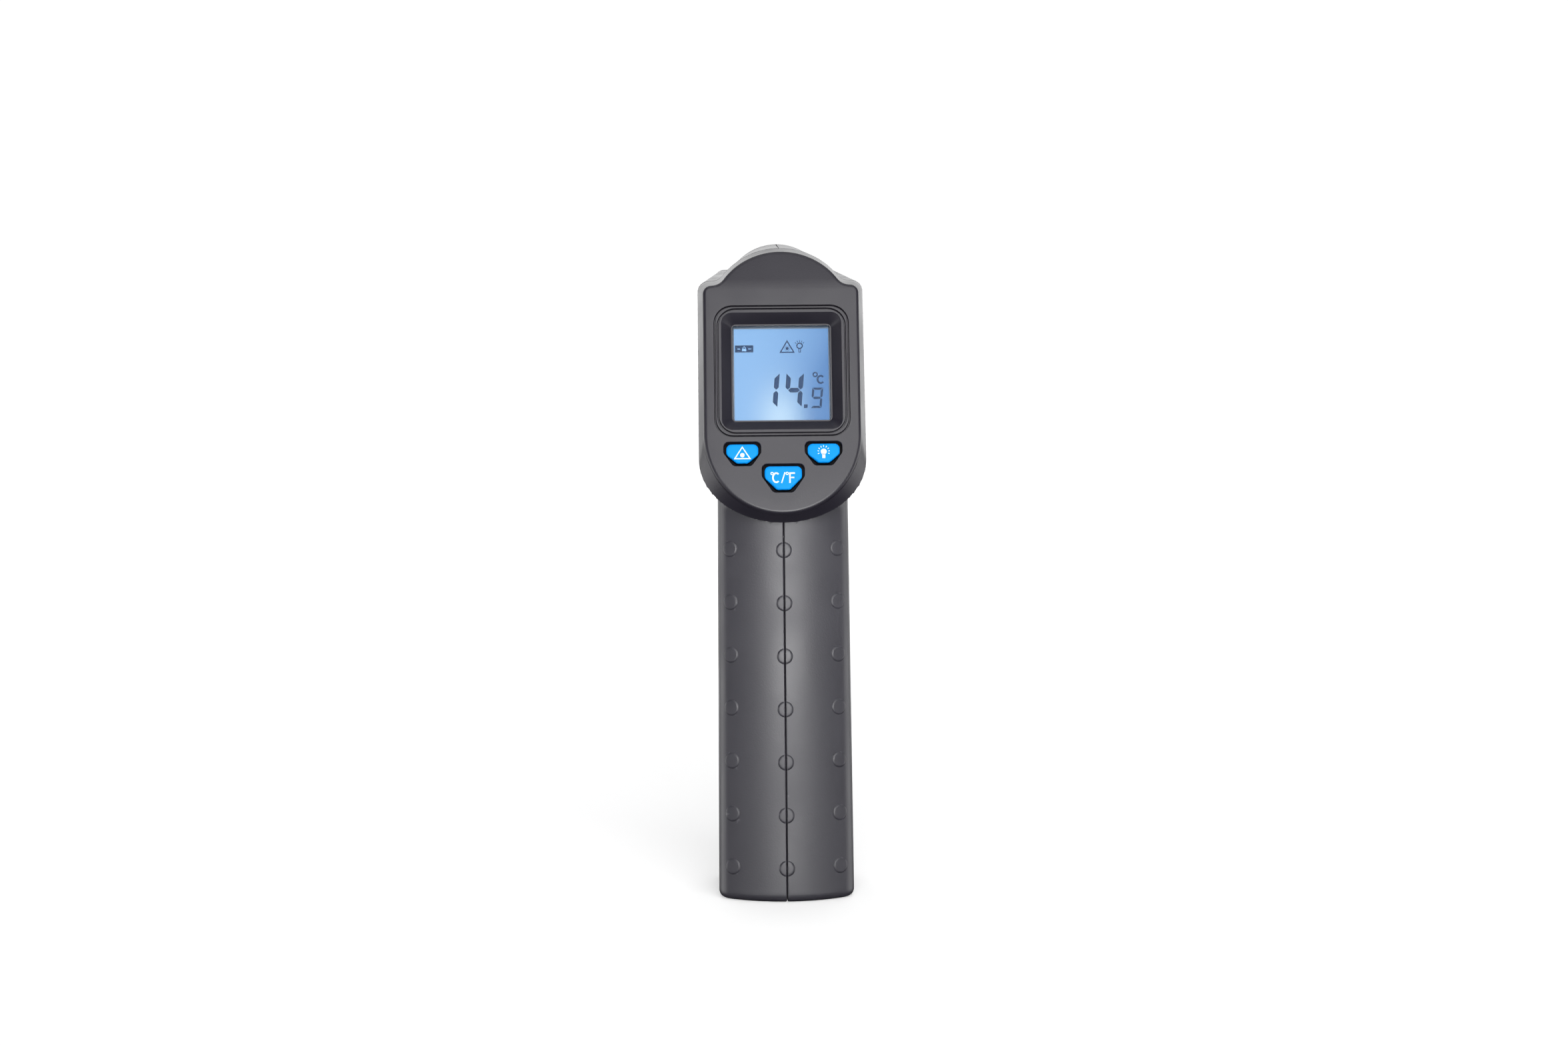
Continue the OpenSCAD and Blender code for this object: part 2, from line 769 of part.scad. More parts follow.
module shell_screws() {
    color(steel) for (p = shell_screw_at) {
        cross_bar(-10.6, -9, p[0], p[1], 2.4);
        cross_bar(-9, 8, p[0], p[1], 1.34);
    }
}

left_shell();
right_shell();
rear_cover();
nose_bezel();
display_window();
lcd_cell();
lcd_frame();
backlight_guide();
backlight_leds();
zebra_strip();
main_board();
key_switches();
controller_chip();
buzzer();
sensor_tube();
lens();
lens_ring();
thermopile();
sensor_board();
sensor_ribbon();
laser_module();
laser_window();
laser_lead();
switch_board();
trigger_switch();
switch_plunger();
trigger();
trigger_pin();
trigger_spring();
battery();
battery_terminals();
battery_snap();
lead_red();
lead_black();
battery_door();
battery_pad();
laser_key();
laser_plunger();
unit_key();
unit_plunger();
backlight_key();
backlight_plunger();
shell_screws();
board_screws();
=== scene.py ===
import bmesh
import bpy
import math
import numpy as np
from mathutils import Matrix, Vector


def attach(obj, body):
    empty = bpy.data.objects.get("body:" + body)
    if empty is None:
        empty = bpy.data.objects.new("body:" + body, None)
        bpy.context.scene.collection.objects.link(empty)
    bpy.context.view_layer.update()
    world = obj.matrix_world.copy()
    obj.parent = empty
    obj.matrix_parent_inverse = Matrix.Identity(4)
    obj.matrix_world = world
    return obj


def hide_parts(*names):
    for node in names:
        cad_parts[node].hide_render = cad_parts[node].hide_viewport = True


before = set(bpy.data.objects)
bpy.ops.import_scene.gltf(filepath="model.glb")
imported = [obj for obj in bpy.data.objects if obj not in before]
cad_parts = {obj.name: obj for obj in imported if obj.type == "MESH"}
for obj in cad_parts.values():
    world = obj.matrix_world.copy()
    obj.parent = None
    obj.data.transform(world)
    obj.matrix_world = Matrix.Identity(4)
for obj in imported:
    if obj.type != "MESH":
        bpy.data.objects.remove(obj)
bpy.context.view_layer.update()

# ---------- Sizes in mm, the same as the CAD part ----------
HEIGHT, HALF_DEPTH, FACE = 160.0, 41.0, 69.2
TILT = math.radians(18)
LIP_Y, LIP_Z = 35.0, HEIGHT - FACE * math.cos(TILT)
FRONT_Y = -37.0
SKIRT, SKIRT_TOP = 4.0, 8.0
JOINT_TILT = TILT + math.atan((SKIRT_TOP - SKIRT) / FACE)
JOINT_Y, JOINT_Z = LIP_Y - SKIRT * math.cos(TILT), LIP_Z - SKIRT * math.sin(TILT)
HUB_Z = JOINT_Z + (JOINT_Y - FRONT_Y) / math.tan(JOINT_TILT)
JOINT_HALF, FRONT_HALF, FRONT_BOTTOM, JOINT_BOTTOM = 20.75, 16.5, 122.0, JOINT_Z + 0.35
RAKE = math.radians(7)
SLOPE = math.tan(RAKE)
GRIP_HALF, ARC, CORNER_B, CORNER_F = 17.5, 30.0, 4.5, 5.0
GRIP_FOOT, GRIP_NECK, RAKE_Z, FOOT_R = 16.8, 16.25, 2, 1.8
WALL, INNER_BLEND, GAP, SEAM = 2.0, 0.9, 0.3, 0.03
FILLET_MID, FILLET_SIDE = 1.5, 4.0
DOT_ROWS, DOT_LOW, DOT_PITCH, DOT_SIDE, DOT_SEGMENTS = 7, 8.5, 13, 13.3, 40
TRIGGER_Y, TRIGGER_Z, TRIGGER_W = -6.0, 121.0, 14.0
HINGE_Y, HINGE_Z, DOOR_TOP, DOOR_DEPTH, DOOR_R, TAB_HALF = 10.3247, 7.5, 88, 7, 7.3, 11
SENSOR_Z, LASER_Z = 143.5, 128.5
SCREWS = [(29, 7), (21.5, 73), (11.5, 112), (-5, 143)]
DISPLAY_UP, DISPLAY_HALF = 38.0, 11.7
BEND_LOW, BEND_HIGH = 58.8, 61.6
LEAN = math.radians(9)
MM = 0.001


def mix(a, b, t):
    return a + (b - a) * t


def grip_mid(z):
    """Y of the raked grip's middle at height z."""
    return HALF_DEPTH - GRIP_HALF - (np.maximum(z, RAKE_Z) - RAKE_Z) * SLOPE


# ---------- Signed distances of the body's outer skin ----------

def outline_distance(x, u, w, low, ell, s, r, f, hump, top):
    """Head outline: elliptical bottom, upright sides, round shoulders, filleted hump."""
    x = np.abs(x)
    c = top - hump
    dy = s + f - c
    dx = np.sqrt((hump + f) ** 2 - dy ** 2)
    v = u - (low + ell)
    e = np.hypot(x / w, v / ell)
    g = np.hypot(x / w ** 2, v / ell ** 2) / np.maximum(e, 1e-6)
    ellipse = (e - 1) / np.maximum(g, 1e-6)
    qx, qy = x - (w - r), u - (s - r)
    box = np.hypot(np.maximum(qx, 0), np.maximum(qy, 0)) + np.minimum(np.maximum(qx, qy), 0) - r
    base = np.minimum(np.where(v < 0, ellipse, box), np.hypot(x, u - c) - hump)
    fx, fy = x - dx, u - (s + f)
    phi = np.arctan2(dy, dx)
    reach = np.hypot(fx, fy)
    in_fillet = (fx <= 0) & (fy * np.cos(phi) - fx * np.sin(phi) <= 0) & (reach < f + 6)
    return np.where(in_fillet, f - reach, base)


def head_values(t):
    """Outline numbers of the head section at t, from 0 at the nose to 1 at the cover joint."""
    k = np.cos(JOINT_TILT * t)
    return dict(
        w=mix(FRONT_HALF, JOINT_HALF, t),
        low=-(HUB_Z - mix(FRONT_BOTTOM, JOINT_BOTTOM, np.maximum(t, 0) ** 2.2)) / k,
        ell=mix(13, 16, t),
        s=-(HUB_Z - HEIGHT + mix(6.7, 8, t)) / k,
        r=mix(2.5, 2.9, t),
        f=mix(3, 3.2, t),
        hump=mix(14.2, 18.2, t),
        top=-(HUB_Z - HEIGHT) / k,
    )


def head_distance(p):
    tau = np.arctan2(p[:, 1] - FRONT_Y, HUB_Z - p[:, 2])
    rho = np.hypot(p[:, 1] - FRONT_Y, HUB_Z - p[:, 2])
    return outline_distance(p[:, 0], -rho, **head_values(tau / JOINT_TILT))


def grip_distance(p):
    x, z = np.abs(p[:, 0]), p[:, 2]
    v = p[:, 1] - grip_mid(z)
    a = mix(GRIP_FOOT, GRIP_NECK, (z - RAKE_Z) / 92)
    ab, af = a - CORNER_B, a - CORNER_F
    qb = np.sqrt((ARC - CORNER_B) ** 2 - ab ** 2)
    qf = np.sqrt((ARC - CORNER_F) ** 2 - af ** 2)
    cb, cf = GRIP_HALF - ARC, ARC - GRIP_HALF
    back = np.where(np.arctan2(x, v - cb) < np.arcsin(ab / (ARC - CORNER_B)),
                    np.hypot(x, v - cb) - ARC, np.hypot(x - ab, v - cb - qb) - CORNER_B)
    front = np.where(np.arctan2(x, cf - v) < np.arcsin(af / (ARC - CORNER_F)),
                     np.hypot(x, v - cf) - ARC, np.hypot(x - af, v - cf + qf) - CORNER_F)
    side = np.where(v > cb + qb, back, np.where(v < cf - qf, front, x - a))
    side = np.maximum(side, z - 128)
    r = FOOT_R
    return np.minimum(-r, np.maximum(side, -z)) + np.hypot(np.maximum(r + side, 0), np.maximum(r - z, 0))


def skin_distance(p):
    """Whole outer form, the grip blended into the head by a fillet that widens to the sides."""
    h, g = head_distance(p), grip_distance(p)
    t = np.clip((np.abs(p[:, 0]) - 8) / 7, 0, 1)
    r = FILLET_MID + (FILLET_SIDE - FILLET_MID) * t * t * (3 - 2 * t)
    return np.maximum(r, np.minimum(h, g)) - np.hypot(np.maximum(r - h, 0), np.maximum(r - g, 0))


def inner_parts(p, outer):
    """Posts, trigger bosses, spring rib and door cheeks inside the shells."""
    x = np.abs(p[:, 0])
    d = np.full(len(p), 99.0)
    for y, z in SCREWS:
        d = np.minimum(d, np.hypot(p[:, 1] - y, p[:, 2] - z) - 3)
    pin = np.hypot(p[:, 1] - TRIGGER_Y, p[:, 2] - TRIGGER_Z)
    boss = np.maximum(pin - 3.15, TRIGGER_W / 2 + GAP - x)
    rib = np.maximum(np.abs(p[:, 1] - 7.75) - 0.75, np.abs(p[:, 2] - 93.5) - 4.5)
    cheek = np.maximum(np.maximum(np.abs(x - 15.3) - 4, p[:, 1] - 16), p[:, 2] - 10.5)
    d = np.minimum(np.minimum(d, boss), np.minimum(rib, cheek))
    return np.maximum(d, outer + 1)


def gradient(f, p, h=0.02):
    """Slope of f at each point."""
    g = np.empty_like(p)
    for k in range(3):
        e = np.zeros(3)
        e[k] = h
        g[:, k] = (f(p + e) - f(p - e)) / (2 * h)
    return g


def surface_net(values, low, cell):
    """Closed quads where the sampled values change sign."""
    inside = values < 0
    n = values.shape
    total = n[0] * n[1] * n[2]
    acc, count, quads = np.zeros((3, total)), np.zeros(total), []
    stride = np.array([n[1] * n[2], n[2], 1])
    for ax in range(3):
        lo = [slice(None)] * 3
        hi = [slice(None)] * 3
        lo[ax], hi[ax] = slice(0, -1), slice(1, None)
        at = np.argwhere(inside[tuple(lo)] != inside[tuple(hi)])
        b, c = (ax + 1) % 3, (ax + 2) % 3
        at = at[(at[:, b] > 0) & (at[:, c] > 0)]
        nxt = at.copy()
        nxt[:, ax] += 1
        va, vb = values[tuple(at.T)], values[tuple(nxt.T)]
        point = at.astype(float)
        point[:, ax] += va / (va - vb)
        base = at @ stride
        ring = [base, base - stride[b], base - stride[b] - stride[c], base - stride[c]]
        for cells in ring:
            count += np.bincount(cells, minlength=total)
            for k in range(3):
                acc[k] += np.bincount(cells, weights=point[:, k], minlength=total)
        quad = np.stack(ring, 1)
        flip = ~inside[tuple(at.T)]
        quad[flip] = quad[flip][:, ::-1]
        quads.append(quad)
    quads = np.concatenate(quads)
    used, faces = np.unique(quads, return_inverse=True)
    verts = (acc[:, used] / count[used]).T * cell + low
    return verts, faces.reshape(-1, 4)


def grid_points(low, high, cell):
    """Corners of a regular grid over a box, and how many there are each way."""
    n = [int(math.ceil((high[k] - low[k]) / cell)) + 1 for k in range(3)]
    axes = [low[k] + cell * np.arange(n[k]) for k in range(3)]
    return np.stack(np.meshgrid(*axes, indexing="ij"), -1).reshape(-1, 3), n


# ---------- Mesh helpers (built in mm, scaled at the end) ----------

def mesh_object(name, verts, faces):
    me = bpy.data.meshes.new(name)
    points = [tuple(v) for v in np.asarray(verts, float)]
    me.from_pydata(points, [], [tuple(int(i) for i in f) for f in faces])
    me.update()
    ob = bpy.data.objects.new(name, me)
    bpy.context.scene.collection.objects.link(ob)
    return ob


def loft(name, rings):
    """Closed solid through rings of equal length."""
    n, m = len(rings[0]), len(rings)
    faces = [[*range(n)], [(m - 1) * n + i for i in range(n - 1, -1, -1)]]
    for k in range(m - 1):
        for i in range(n):
            j = (i + 1) % n
            faces.append([k * n + i, (k + 1) * n + i, (k + 1) * n + j, k * n + j])
    ob = mesh_object(name, np.concatenate([np.asarray(r, float) for r in rings]), faces)
    return outward(ob)


def outward(ob):
    """Turns all faces to face out."""
    bm = bmesh.new()
    bm.from_mesh(ob.data)
    bmesh.ops.recalc_face_normals(bm, faces=bm.faces)
    bm.to_mesh(ob.data)
    bm.free()
    return ob


def bake(ob):
    """Applies the modifiers."""
    dg = bpy.context.evaluated_depsgraph_get()
    me = bpy.data.meshes.new_from_object(ob.evaluated_get(dg))
    ob.modifiers.clear()
    old = ob.data
    ob.data = me
    bpy.data.meshes.remove(old)
    return ob


def boolean(ob, other, op="DIFFERENCE", keep=False):
    mod = ob.modifiers.new("cut", "BOOLEAN")
    mod.object, mod.operation, mod.solver = other, op, "EXACT"
    bake(ob)
    if not keep:
        bpy.data.objects.remove(other)
    return ob


def copy_of(ob, name):
    new = bpy.data.objects.new(name, ob.data.copy())
    bpy.context.scene.collection.objects.link(new)
    return new


def place(ob, matrix):
    ob.data.transform(matrix)
    return ob


def lathe(name, profile, axis, origin, n=64):
    """Turned solid: profile is [(radius, distance along axis)], closed on the axis at both ends."""
    a = np.linspace(0, 2 * math.pi, n, endpoint=False)
    rings = [np.stack([r * np.cos(a), r * np.sin(a), np.full(n, h)], 1) for r, h in profile]
    ob = loft(name, rings)
    turn = Vector((0, 0, 1)).rotation_difference(Vector(axis)).to_matrix().to_4x4()
    return outward(place(ob, Matrix.Translation(Vector(origin)) @ turn))


def bar(name, axis, origin, length, r, n=48, edge=0.0):
    e = edge
    if e <= 0:
        return lathe(name, [(r, 0), (r, length)], axis, origin, n)
    start = [(r - e, 0), (r - 0.3 * e, 0.3 * e), (r, e)]
    end = [(r, length - e), (r - 0.3 * e, length - 0.3 * e), (r - e, length)]
    return lathe(name, start + end, axis, origin, n)


def box(name, low, high):
    (x0, y0, z0), (x1, y1, z1) = low, high
    return loft(name, [[(x0, y0, z), (x1, y0, z), (x1, y1, z), (x0, y1, z)] for z in (z0, z1)])


def prism_yz(name, outline, x0, x1):
    return loft(name, [[(x, y, z) for y, z in outline] for x in (x0, x1)])


def bevel(ob, width, segments=2, angle=30):
    mod = ob.modifiers.new("edge", "BEVEL")
    mod.width, mod.segments, mod.limit_method = width, segments, "ANGLE"
    mod.angle_limit = math.radians(angle)
    mod.harden_normals = False
    mod.miter_outer = "MITER_ARC"
    return bake(ob)


def tidy(ob, merge=0.0005):
    """Merges doubled points and drops loose ones."""
    bm = bmesh.new()
    bm.from_mesh(ob.data)
    bmesh.ops.remove_doubles(bm, verts=bm.verts, dist=merge)
    bmesh.ops.dissolve_degenerate(bm, edges=bm.edges, dist=merge)
    loose = [v for v in bm.verts if not v.link_faces]
    bmesh.ops.delete(bm, geom=loose, context="VERTS")
    bm.to_mesh(ob.data)
    bm.free()
    return ob


def finish_piece(ob, body, material, nodes=(), smooth=35, matrix=None):
    """Scales to metres, shades, paints, and hangs the piece on its CAD body."""
    ob.data.transform(Matrix.Scale(MM, 4))
    me = ob.data
    me.shade_smooth()
    if smooth:
        me.set_sharp_from_angle(angle=math.radians(smooth))
    me.materials.clear()
    me.materials.append(material)
    if matrix is not None:
        ob.matrix_world = matrix
    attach(ob, body)
    for n in nodes:
        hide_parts(n)
    return ob


# Panel frame: X to the holder's right, Y up the slope, Z out of the face
PANEL_UP = (0, -math.sin(TILT), math.cos(TILT))
PANEL_OUT = (0, math.cos(TILT), math.sin(TILT))
PANEL_ROT = Matrix(((-1, 0, 0), PANEL_UP, PANEL_OUT)).to_4x4()
PANEL = Matrix.Translation(Vector((0, LIP_Y, LIP_Z))) @ PANEL_ROT
PANEL_M = Matrix.Translation(Vector((0, LIP_Y * MM, LIP_Z * MM))) @ PANEL_ROT

# ---------- Materials ----------

def srgb(r, g, b):
    def lin(c):
        c /= 255
        return c / 12.92 if c <= 0.04045 else ((c + 0.055) / 1.055) ** 2.4
    return (lin(r), lin(g), lin(b), 1.0)


def node_material(name):
    mat = bpy.data.materials.new(name)
    mat.use_nodes = True
    nt = mat.node_tree
    nt.nodes.clear()
    out = nt.nodes.new("ShaderNodeOutputMaterial")
    return mat, nt, out


def moulded(name, base, rough=0.45, vary=0.12, grain=0.15, scale=1800, wear=0.25, metal=0.0,
            spec=0.5, painted_gap_shade=False):
    """Plastic, rubber or metal: mottled colour, uneven gloss, fine grain and paler worn edges.

    An option paints shade into the colour: near black with depth under the panel's face, standing in for
    the shadow in the gap round a key.
    """
    mat, nt, out = node_material(name)
    new, link = nt.nodes.new, nt.links.new
    shader = new("ShaderNodeBsdfPrincipled")
    link(shader.outputs[0], out.inputs[0])
    shader.inputs["Metallic"].default_value = metal
    shader.inputs["Specular IOR Level"].default_value = spec
    coord = new("ShaderNodeTexCoord")

    def noise(size, detail):
        n = new("ShaderNodeTexNoise")
        n.inputs["Scale"].default_value = size
        n.inputs["Detail"].default_value = detail
        link(coord.outputs["Object"], n.inputs["Vector"])
        return n

    def spread(source, low, high, a=0.3, b=0.7):
        r = new("ShaderNodeMapRange")
        for socket, value in zip(("From Min", "From Max", "To Min", "To Max"), (a, b, low, high)):
            r.inputs[socket].default_value = value
        link(source, r.inputs["Value"])
        return r.outputs["Result"]

    large, fine = noise(60, 3), noise(scale, 4)
    tint = new("ShaderNodeMix")
    tint.data_type, tint.blend_type = "RGBA", "MULTIPLY"
    tint.inputs[0].default_value = 1.0
    tint.inputs[6].default_value = base
    level = new("ShaderNodeCombineColor")
    value = spread(large.outputs["Fac"], 1 - vary, 1 + vary)
    for k in range(3):
        link(value, level.inputs[k])
    link(level.outputs[0], tint.inputs[7])
    geo = new("ShaderNodeNewGeometry")
    edge = spread(geo.outputs["Pointiness"], 0, wear, 0.53, 0.62)
    pale = new("ShaderNodeMix")
    pale.data_type = "RGBA"
    pale.inputs[7].default_value = tuple(min(1, c * 1.6 + 0.05) for c in base[:3]) + (1,)
    link(edge, pale.inputs[0])
    link(tint.outputs[2], pale.inputs[6])
    # Painted shade: the colour goes near black where a surface sinks below the panel's face, standing in
    # for the shadow in the gap round a key.
    if painted_gap_shade:
        depth, shade = new("ShaderNodeVectorMath"), new("ShaderNodeMix")
        depth.operation = "DOT_PRODUCT"
        depth.inputs[1].default_value = PANEL_OUT
        link(coord.outputs["Object"], depth.inputs[0])
        face = Vector(PANEL_OUT).dot(Vector((0, LIP_Y, LIP_Z))) * MM
        shade.data_type = "RGBA"
        shade.inputs[6].default_value = (0.002, 0.002, 0.003, 1)
        link(spread(depth.outputs["Value"], 0.0, 1.0, face - 0.6 * MM, face - 0.1 * MM), shade.inputs[0])
        link(pale.outputs[2], shade.inputs[7])
        pale = shade
    link(pale.outputs[2], shader.inputs["Base Color"])
    link(spread(large.outputs["Fac"], rough - 0.05, rough + 0.07), shader.inputs["Roughness"])
    bump = new("ShaderNodeBump")
    bump.inputs["Strength"].default_value = grain
    bump.inputs["Distance"].default_value = 0.00006
    link(fine.outputs["Fac"], bump.inputs["Height"])
    link(bump.outputs[0], shader.inputs["Normal"])
    return mat


def clear_window(name):
    mat, nt, out = node_material(name)
    new, link = nt.nodes.new, nt.links.new
    shader = new("ShaderNodeBsdfPrincipled")
    link(shader.outputs[0], out.inputs[0])
    coord, noise = new("ShaderNodeTexCoord"), new("ShaderNodeTexNoise")
    noise.inputs["Scale"].default_value = 90
    link(coord.outputs["Object"], noise.inputs["Vector"])
    ramp = new("ShaderNodeMapRange")
    ramp.inputs["To Min"].default_value, ramp.inputs["To Max"].default_value = 0.04, 0.09
    link(noise.outputs["Fac"], ramp.inputs["Value"])
    link(ramp.outputs["Result"], shader.inputs["Roughness"])
    shader.inputs["Base Color"].default_value = srgb(150, 190, 230)
    shader.inputs["Alpha"].default_value = 0.06
    return mat


def lit_display(name):
    """Backlit blue panel, brightest low in the middle and dimmer to the right."""
    mat, nt, out = node_material(name)
    new, link = nt.nodes.new, nt.links.new
    coord, split = new("ShaderNodeTexCoord"), new("ShaderNodeSeparateXYZ")
    link(coord.outputs["Object"], split.inputs[0])

    def calc(op, a, b):
        n = new("ShaderNodeMath")
        n.operation = op
        for k, v in enumerate((a, b)):
            if isinstance(v, (int, float)):
                n.inputs[k].default_value = v
            else:
                link(v, n.inputs[k])
        return n.outputs[0]

    x = calc("MULTIPLY", split.outputs[0], 1 / (DISPLAY_HALF * MM))
    y = calc("MULTIPLY", split.outputs[1], 1 / (DISPLAY_HALF * MM))
    dx, dy = calc("ADD", x, 0.05), calc("ADD", y, 1.0)
    across = calc("MULTIPLY", calc("MULTIPLY", dx, dx), 2.8)
    far = calc("ADD", across, calc("MULTIPLY", calc("MULTIPLY", dy, dy), 1.1))
    glow = calc("POWER", 2.718, calc("MULTIPLY", far, -1.6))
    noise = new("ShaderNodeTexNoise")
    noise.inputs["Scale"].default_value = 120
    link(coord.outputs["Object"], noise.inputs["Vector"])
    side = calc("ADD", calc("MULTIPLY", x, 0.5), 0.5)
    tone = new("ShaderNodeMix")
    tone.data_type = "RGBA"
    tone.inputs[6].default_value = srgb(146, 193, 243)
    tone.inputs[7].default_value = srgb(82, 130, 191)
    lower = calc("SUBTRACT", 1.15, calc("MULTIPLY", y, 0.45))
    link(calc("MULTIPLY", calc("MULTIPLY", side, side), lower), tone.inputs[0])
    lit = new("ShaderNodeMix")
    lit.data_type = "RGBA"
    lit.inputs[7].default_value = srgb(200, 231, 255)
    link(glow, lit.inputs[0])
    link(tone.outputs[2], lit.inputs[6])
    shader = new("ShaderNodeBsdfPrincipled")
    shader.inputs["Base Color"].default_value = srgb(16, 26, 42)
    shader.inputs["Specular IOR Level"].default_value = 0.1
    link(calc("ADD", calc("MULTIPLY", noise.outputs["Fac"], 0.1), 0.3), shader.inputs["Roughness"])
    link(lit.outputs[2], shader.inputs["Emission Color"])
    shader.inputs["Emission Strength"].default_value = 0.88
    link(shader.outputs[0], out.inputs[0])
    return mat


def pale_floor(name):
    """Nearly white sheet that shows faint shadows."""
    mat, nt, out = node_material(name)
    shader = nt.nodes.new("ShaderNodeBsdfPrincipled")
    shader.inputs["Base Color"].default_value = (0.78, 0.78, 0.78, 1)
    shader.inputs["Roughness"].default_value = 0.9
    shader.inputs["Specular IOR Level"].default_value = 0.0
    shader.inputs["Emission Color"].default_value = (1, 1, 1, 1)
    shader.inputs["Emission Strength"].default_value = 0.37
    nt.links.new(shader.outputs[0], out.inputs[0])
    return mat


SHELL = moulded("shell_plastic", srgb(51, 50, 56), rough=0.4, vary=0.06, grain=0.3, scale=2600,
                wear=0.5)
COVER = moulded("cover_plastic", srgb(33, 31, 39), rough=0.38, vary=0.06, grain=0.3, scale=2600,
                wear=0.15)
BLACK = moulded("black_plastic", srgb(22, 22, 24), rough=0.38, vary=0.1, grain=0.2, scale=2200)
# The keys carry painted shade on the flange below the panel's face.
KEY = moulded("key_rubber", srgb(0, 136, 222), rough=0.5, vary=0.05, grain=0.12, scale=2200,
              wear=0.1, spec=0.12, painted_gap_shade=True)
TRIGGER_BLUE = moulded("trigger_plastic", srgb(0, 124, 216), rough=0.36, vary=0.05, grain=0.2,
                       wear=0.2)
PRINT = moulded("white_print", srgb(226, 236, 246), rough=0.5, vary=0.03, grain=0.1, wear=0.0)
DIGIT = moulded("segment_ink", srgb(10, 24, 66), rough=0.5, vary=0.08, grain=0.05, spec=0.08,
                wear=0.0)
STEEL = moulded("steel", (0.55, 0.55, 0.56, 1), rough=0.3, metal=1.0, vary=0.1, scale=3000)
BRASS = moulded("brass", (0.7, 0.5, 0.2, 1), rough=0.3, metal=1.0, vary=0.12, scale=3000)
BOARD = moulded("circuit_board", srgb(24, 92, 52), rough=0.4, vary=0.15, scale=900)
WHITE = moulded("white_plastic", srgb(226, 226, 224), rough=0.4, vary=0.05)
GUIDE = moulded("light_guide", srgb(205, 225, 245), rough=0.2, vary=0.05)
ELASTOMER = moulded("elastomer", srgb(120, 50, 48), rough=0.7, vary=0.2)
LENS = moulded("lens_polymer", srgb(196, 200, 196), rough=0.22, vary=0.06, grain=0.05)
RED_WINDOW = moulded("red_window", srgb(120, 18, 16), rough=0.12, vary=0.1, grain=0.02)
RIBBON = moulded("ribbon", srgb(176, 110, 40), rough=0.3, vary=0.15)
RED = moulded("red_wire", srgb(170, 22, 20), rough=0.45, vary=0.1)
DARK = moulded("black_wire", srgb(22, 22, 24), rough=0.45, vary=0.1)
PLUNGER = moulded("plunger", srgb(206, 204, 194), rough=0.4, vary=0.06)
FOAM = moulded("foam", srgb(34, 34, 36), rough=0.9, vary=0.3, grain=0.9, scale=1200)
JACKET = moulded("battery_jacket", srgb(40, 44, 56), rough=0.3, metal=0.4, vary=0.1)
FLAG = moulded("flag_light", srgb(150, 195, 240), rough=0.4, vary=0.03, grain=0.05, wear=0.0)
RIM = moulded("display_rim_grey", srgb(120, 124, 132), rough=0.4, vary=0.05, grain=0.05,
              wear=0.0)
WINDOW = clear_window("clear_window")
DISPLAY = lit_display("lit_display")

# ---------- Body shells ----------
CELL = 0.6


def project(p, f, level, keep=None, steps=3):
    """Moves points onto the surface where f has the given level."""
    for _ in range(steps):
        v = f(p) - level
        g = gradient(f, p)
        step = g * (v / np.maximum((g * g).sum(1), 1e-6))[:, None]
        p = p - (step if keep is None else step * keep[:, None])
    return p


def wall_mesh(name, low, high, parts=True):
    """The housing's wall within a box, closed at the box's sides."""
    p, n = grid_points(low, high, CELL)
    s = skin_distance(p)
    f = np.maximum(s, -(s + WALL))
    if parts:
        d, r = inner_parts(p, s), INNER_BLEND
        f = np.maximum(r, np.minimum(f, d)) - np.hypot(np.maximum(r - f, 0), np.maximum(r - d, 0))
    f = f.reshape(n)
    for axis in range(3):
        for side in (0, -1):
            at = [slice(None)] * 3
            at[axis] = side
            f[tuple(at)] = np.maximum(f[tuple(at)], 0.3)
    verts, faces = surface_net(f, np.array(low), CELL)
    s = skin_distance(verts)
    clear = inner_parts(verts, s) > 1.2 if parts else np.full(len(verts), True)
    border = ((verts > np.array(low) + 1.5 * CELL) & (verts < np.array(high) - 1.5 * CELL)).all(1)
    outer = (s > -0.8) & border
    inner = (s < -1.2) & clear & border
    verts = project(verts, skin_distance, 0.0, outer.astype(float))
    verts = project(verts, skin_distance, -WALL, inner.astype(float))
    return outward(mesh_object(name, verts, faces))


def dot_mesh():
    """Raised grip dots on the +X half and the centre line, each pressed onto the skin."""
    verts, faces = [], []
    n = DOT_SEGMENTS
    profile = [(2.0, -0.5), (2.0, 0.03), (1.9, 0.12), (1.75, 0.22), (1.6, 0.28), (1.42, 0.3), (0.7, 0.3)]
    a = np.linspace(0, 2 * math.pi, n, endpoint=False)
    for row in range(DOT_ROWS):
        z = DOT_LOW + DOT_PITCH * row
        back = float(grip_mid(np.array(z))) + GRIP_HALF - ARC
        for turn in (0, math.asin(DOT_SIDE / ARC)):
            c = np.array([ARC * math.sin(turn), back + ARC * math.cos(turn), z])
            e1 = np.array([math.cos(turn), -math.sin(turn), 0])
            start = len(verts)
            for r, h in profile:
                q = c + r * np.cos(a)[:, None] * e1 + r * np.sin(a)[:, None] * np.array([0, 0, 1])
                verts.extend(project(q, skin_distance, h))
            faces.append([start + i for i in range(n)])
            last = start + (len(profile) - 1) * n
            faces.append([last + i for i in range(n - 1, -1, -1)])
            for k in range(len(profile) - 1):
                for i in range(n):
                    j = (i + 1) % n
                    b = start + k * n
                    faces.append([b + i, b + n + i, b + n + j, b + j])
    return outward(mesh_object("dots", verts, faces))


def cut_rows(ob, point, normal):
    """Adds a row of edges where a plane meets the mesh."""
    bm = bmesh.new()
    bm.from_mesh(ob.data)
    bmesh.ops.bisect_plane(bm, geom=bm.verts[:] + bm.edges[:] + bm.faces[:], dist=1e-5,
                           plane_co=point, plane_no=normal)
    bm.to_mesh(ob.data)
    bm.free()


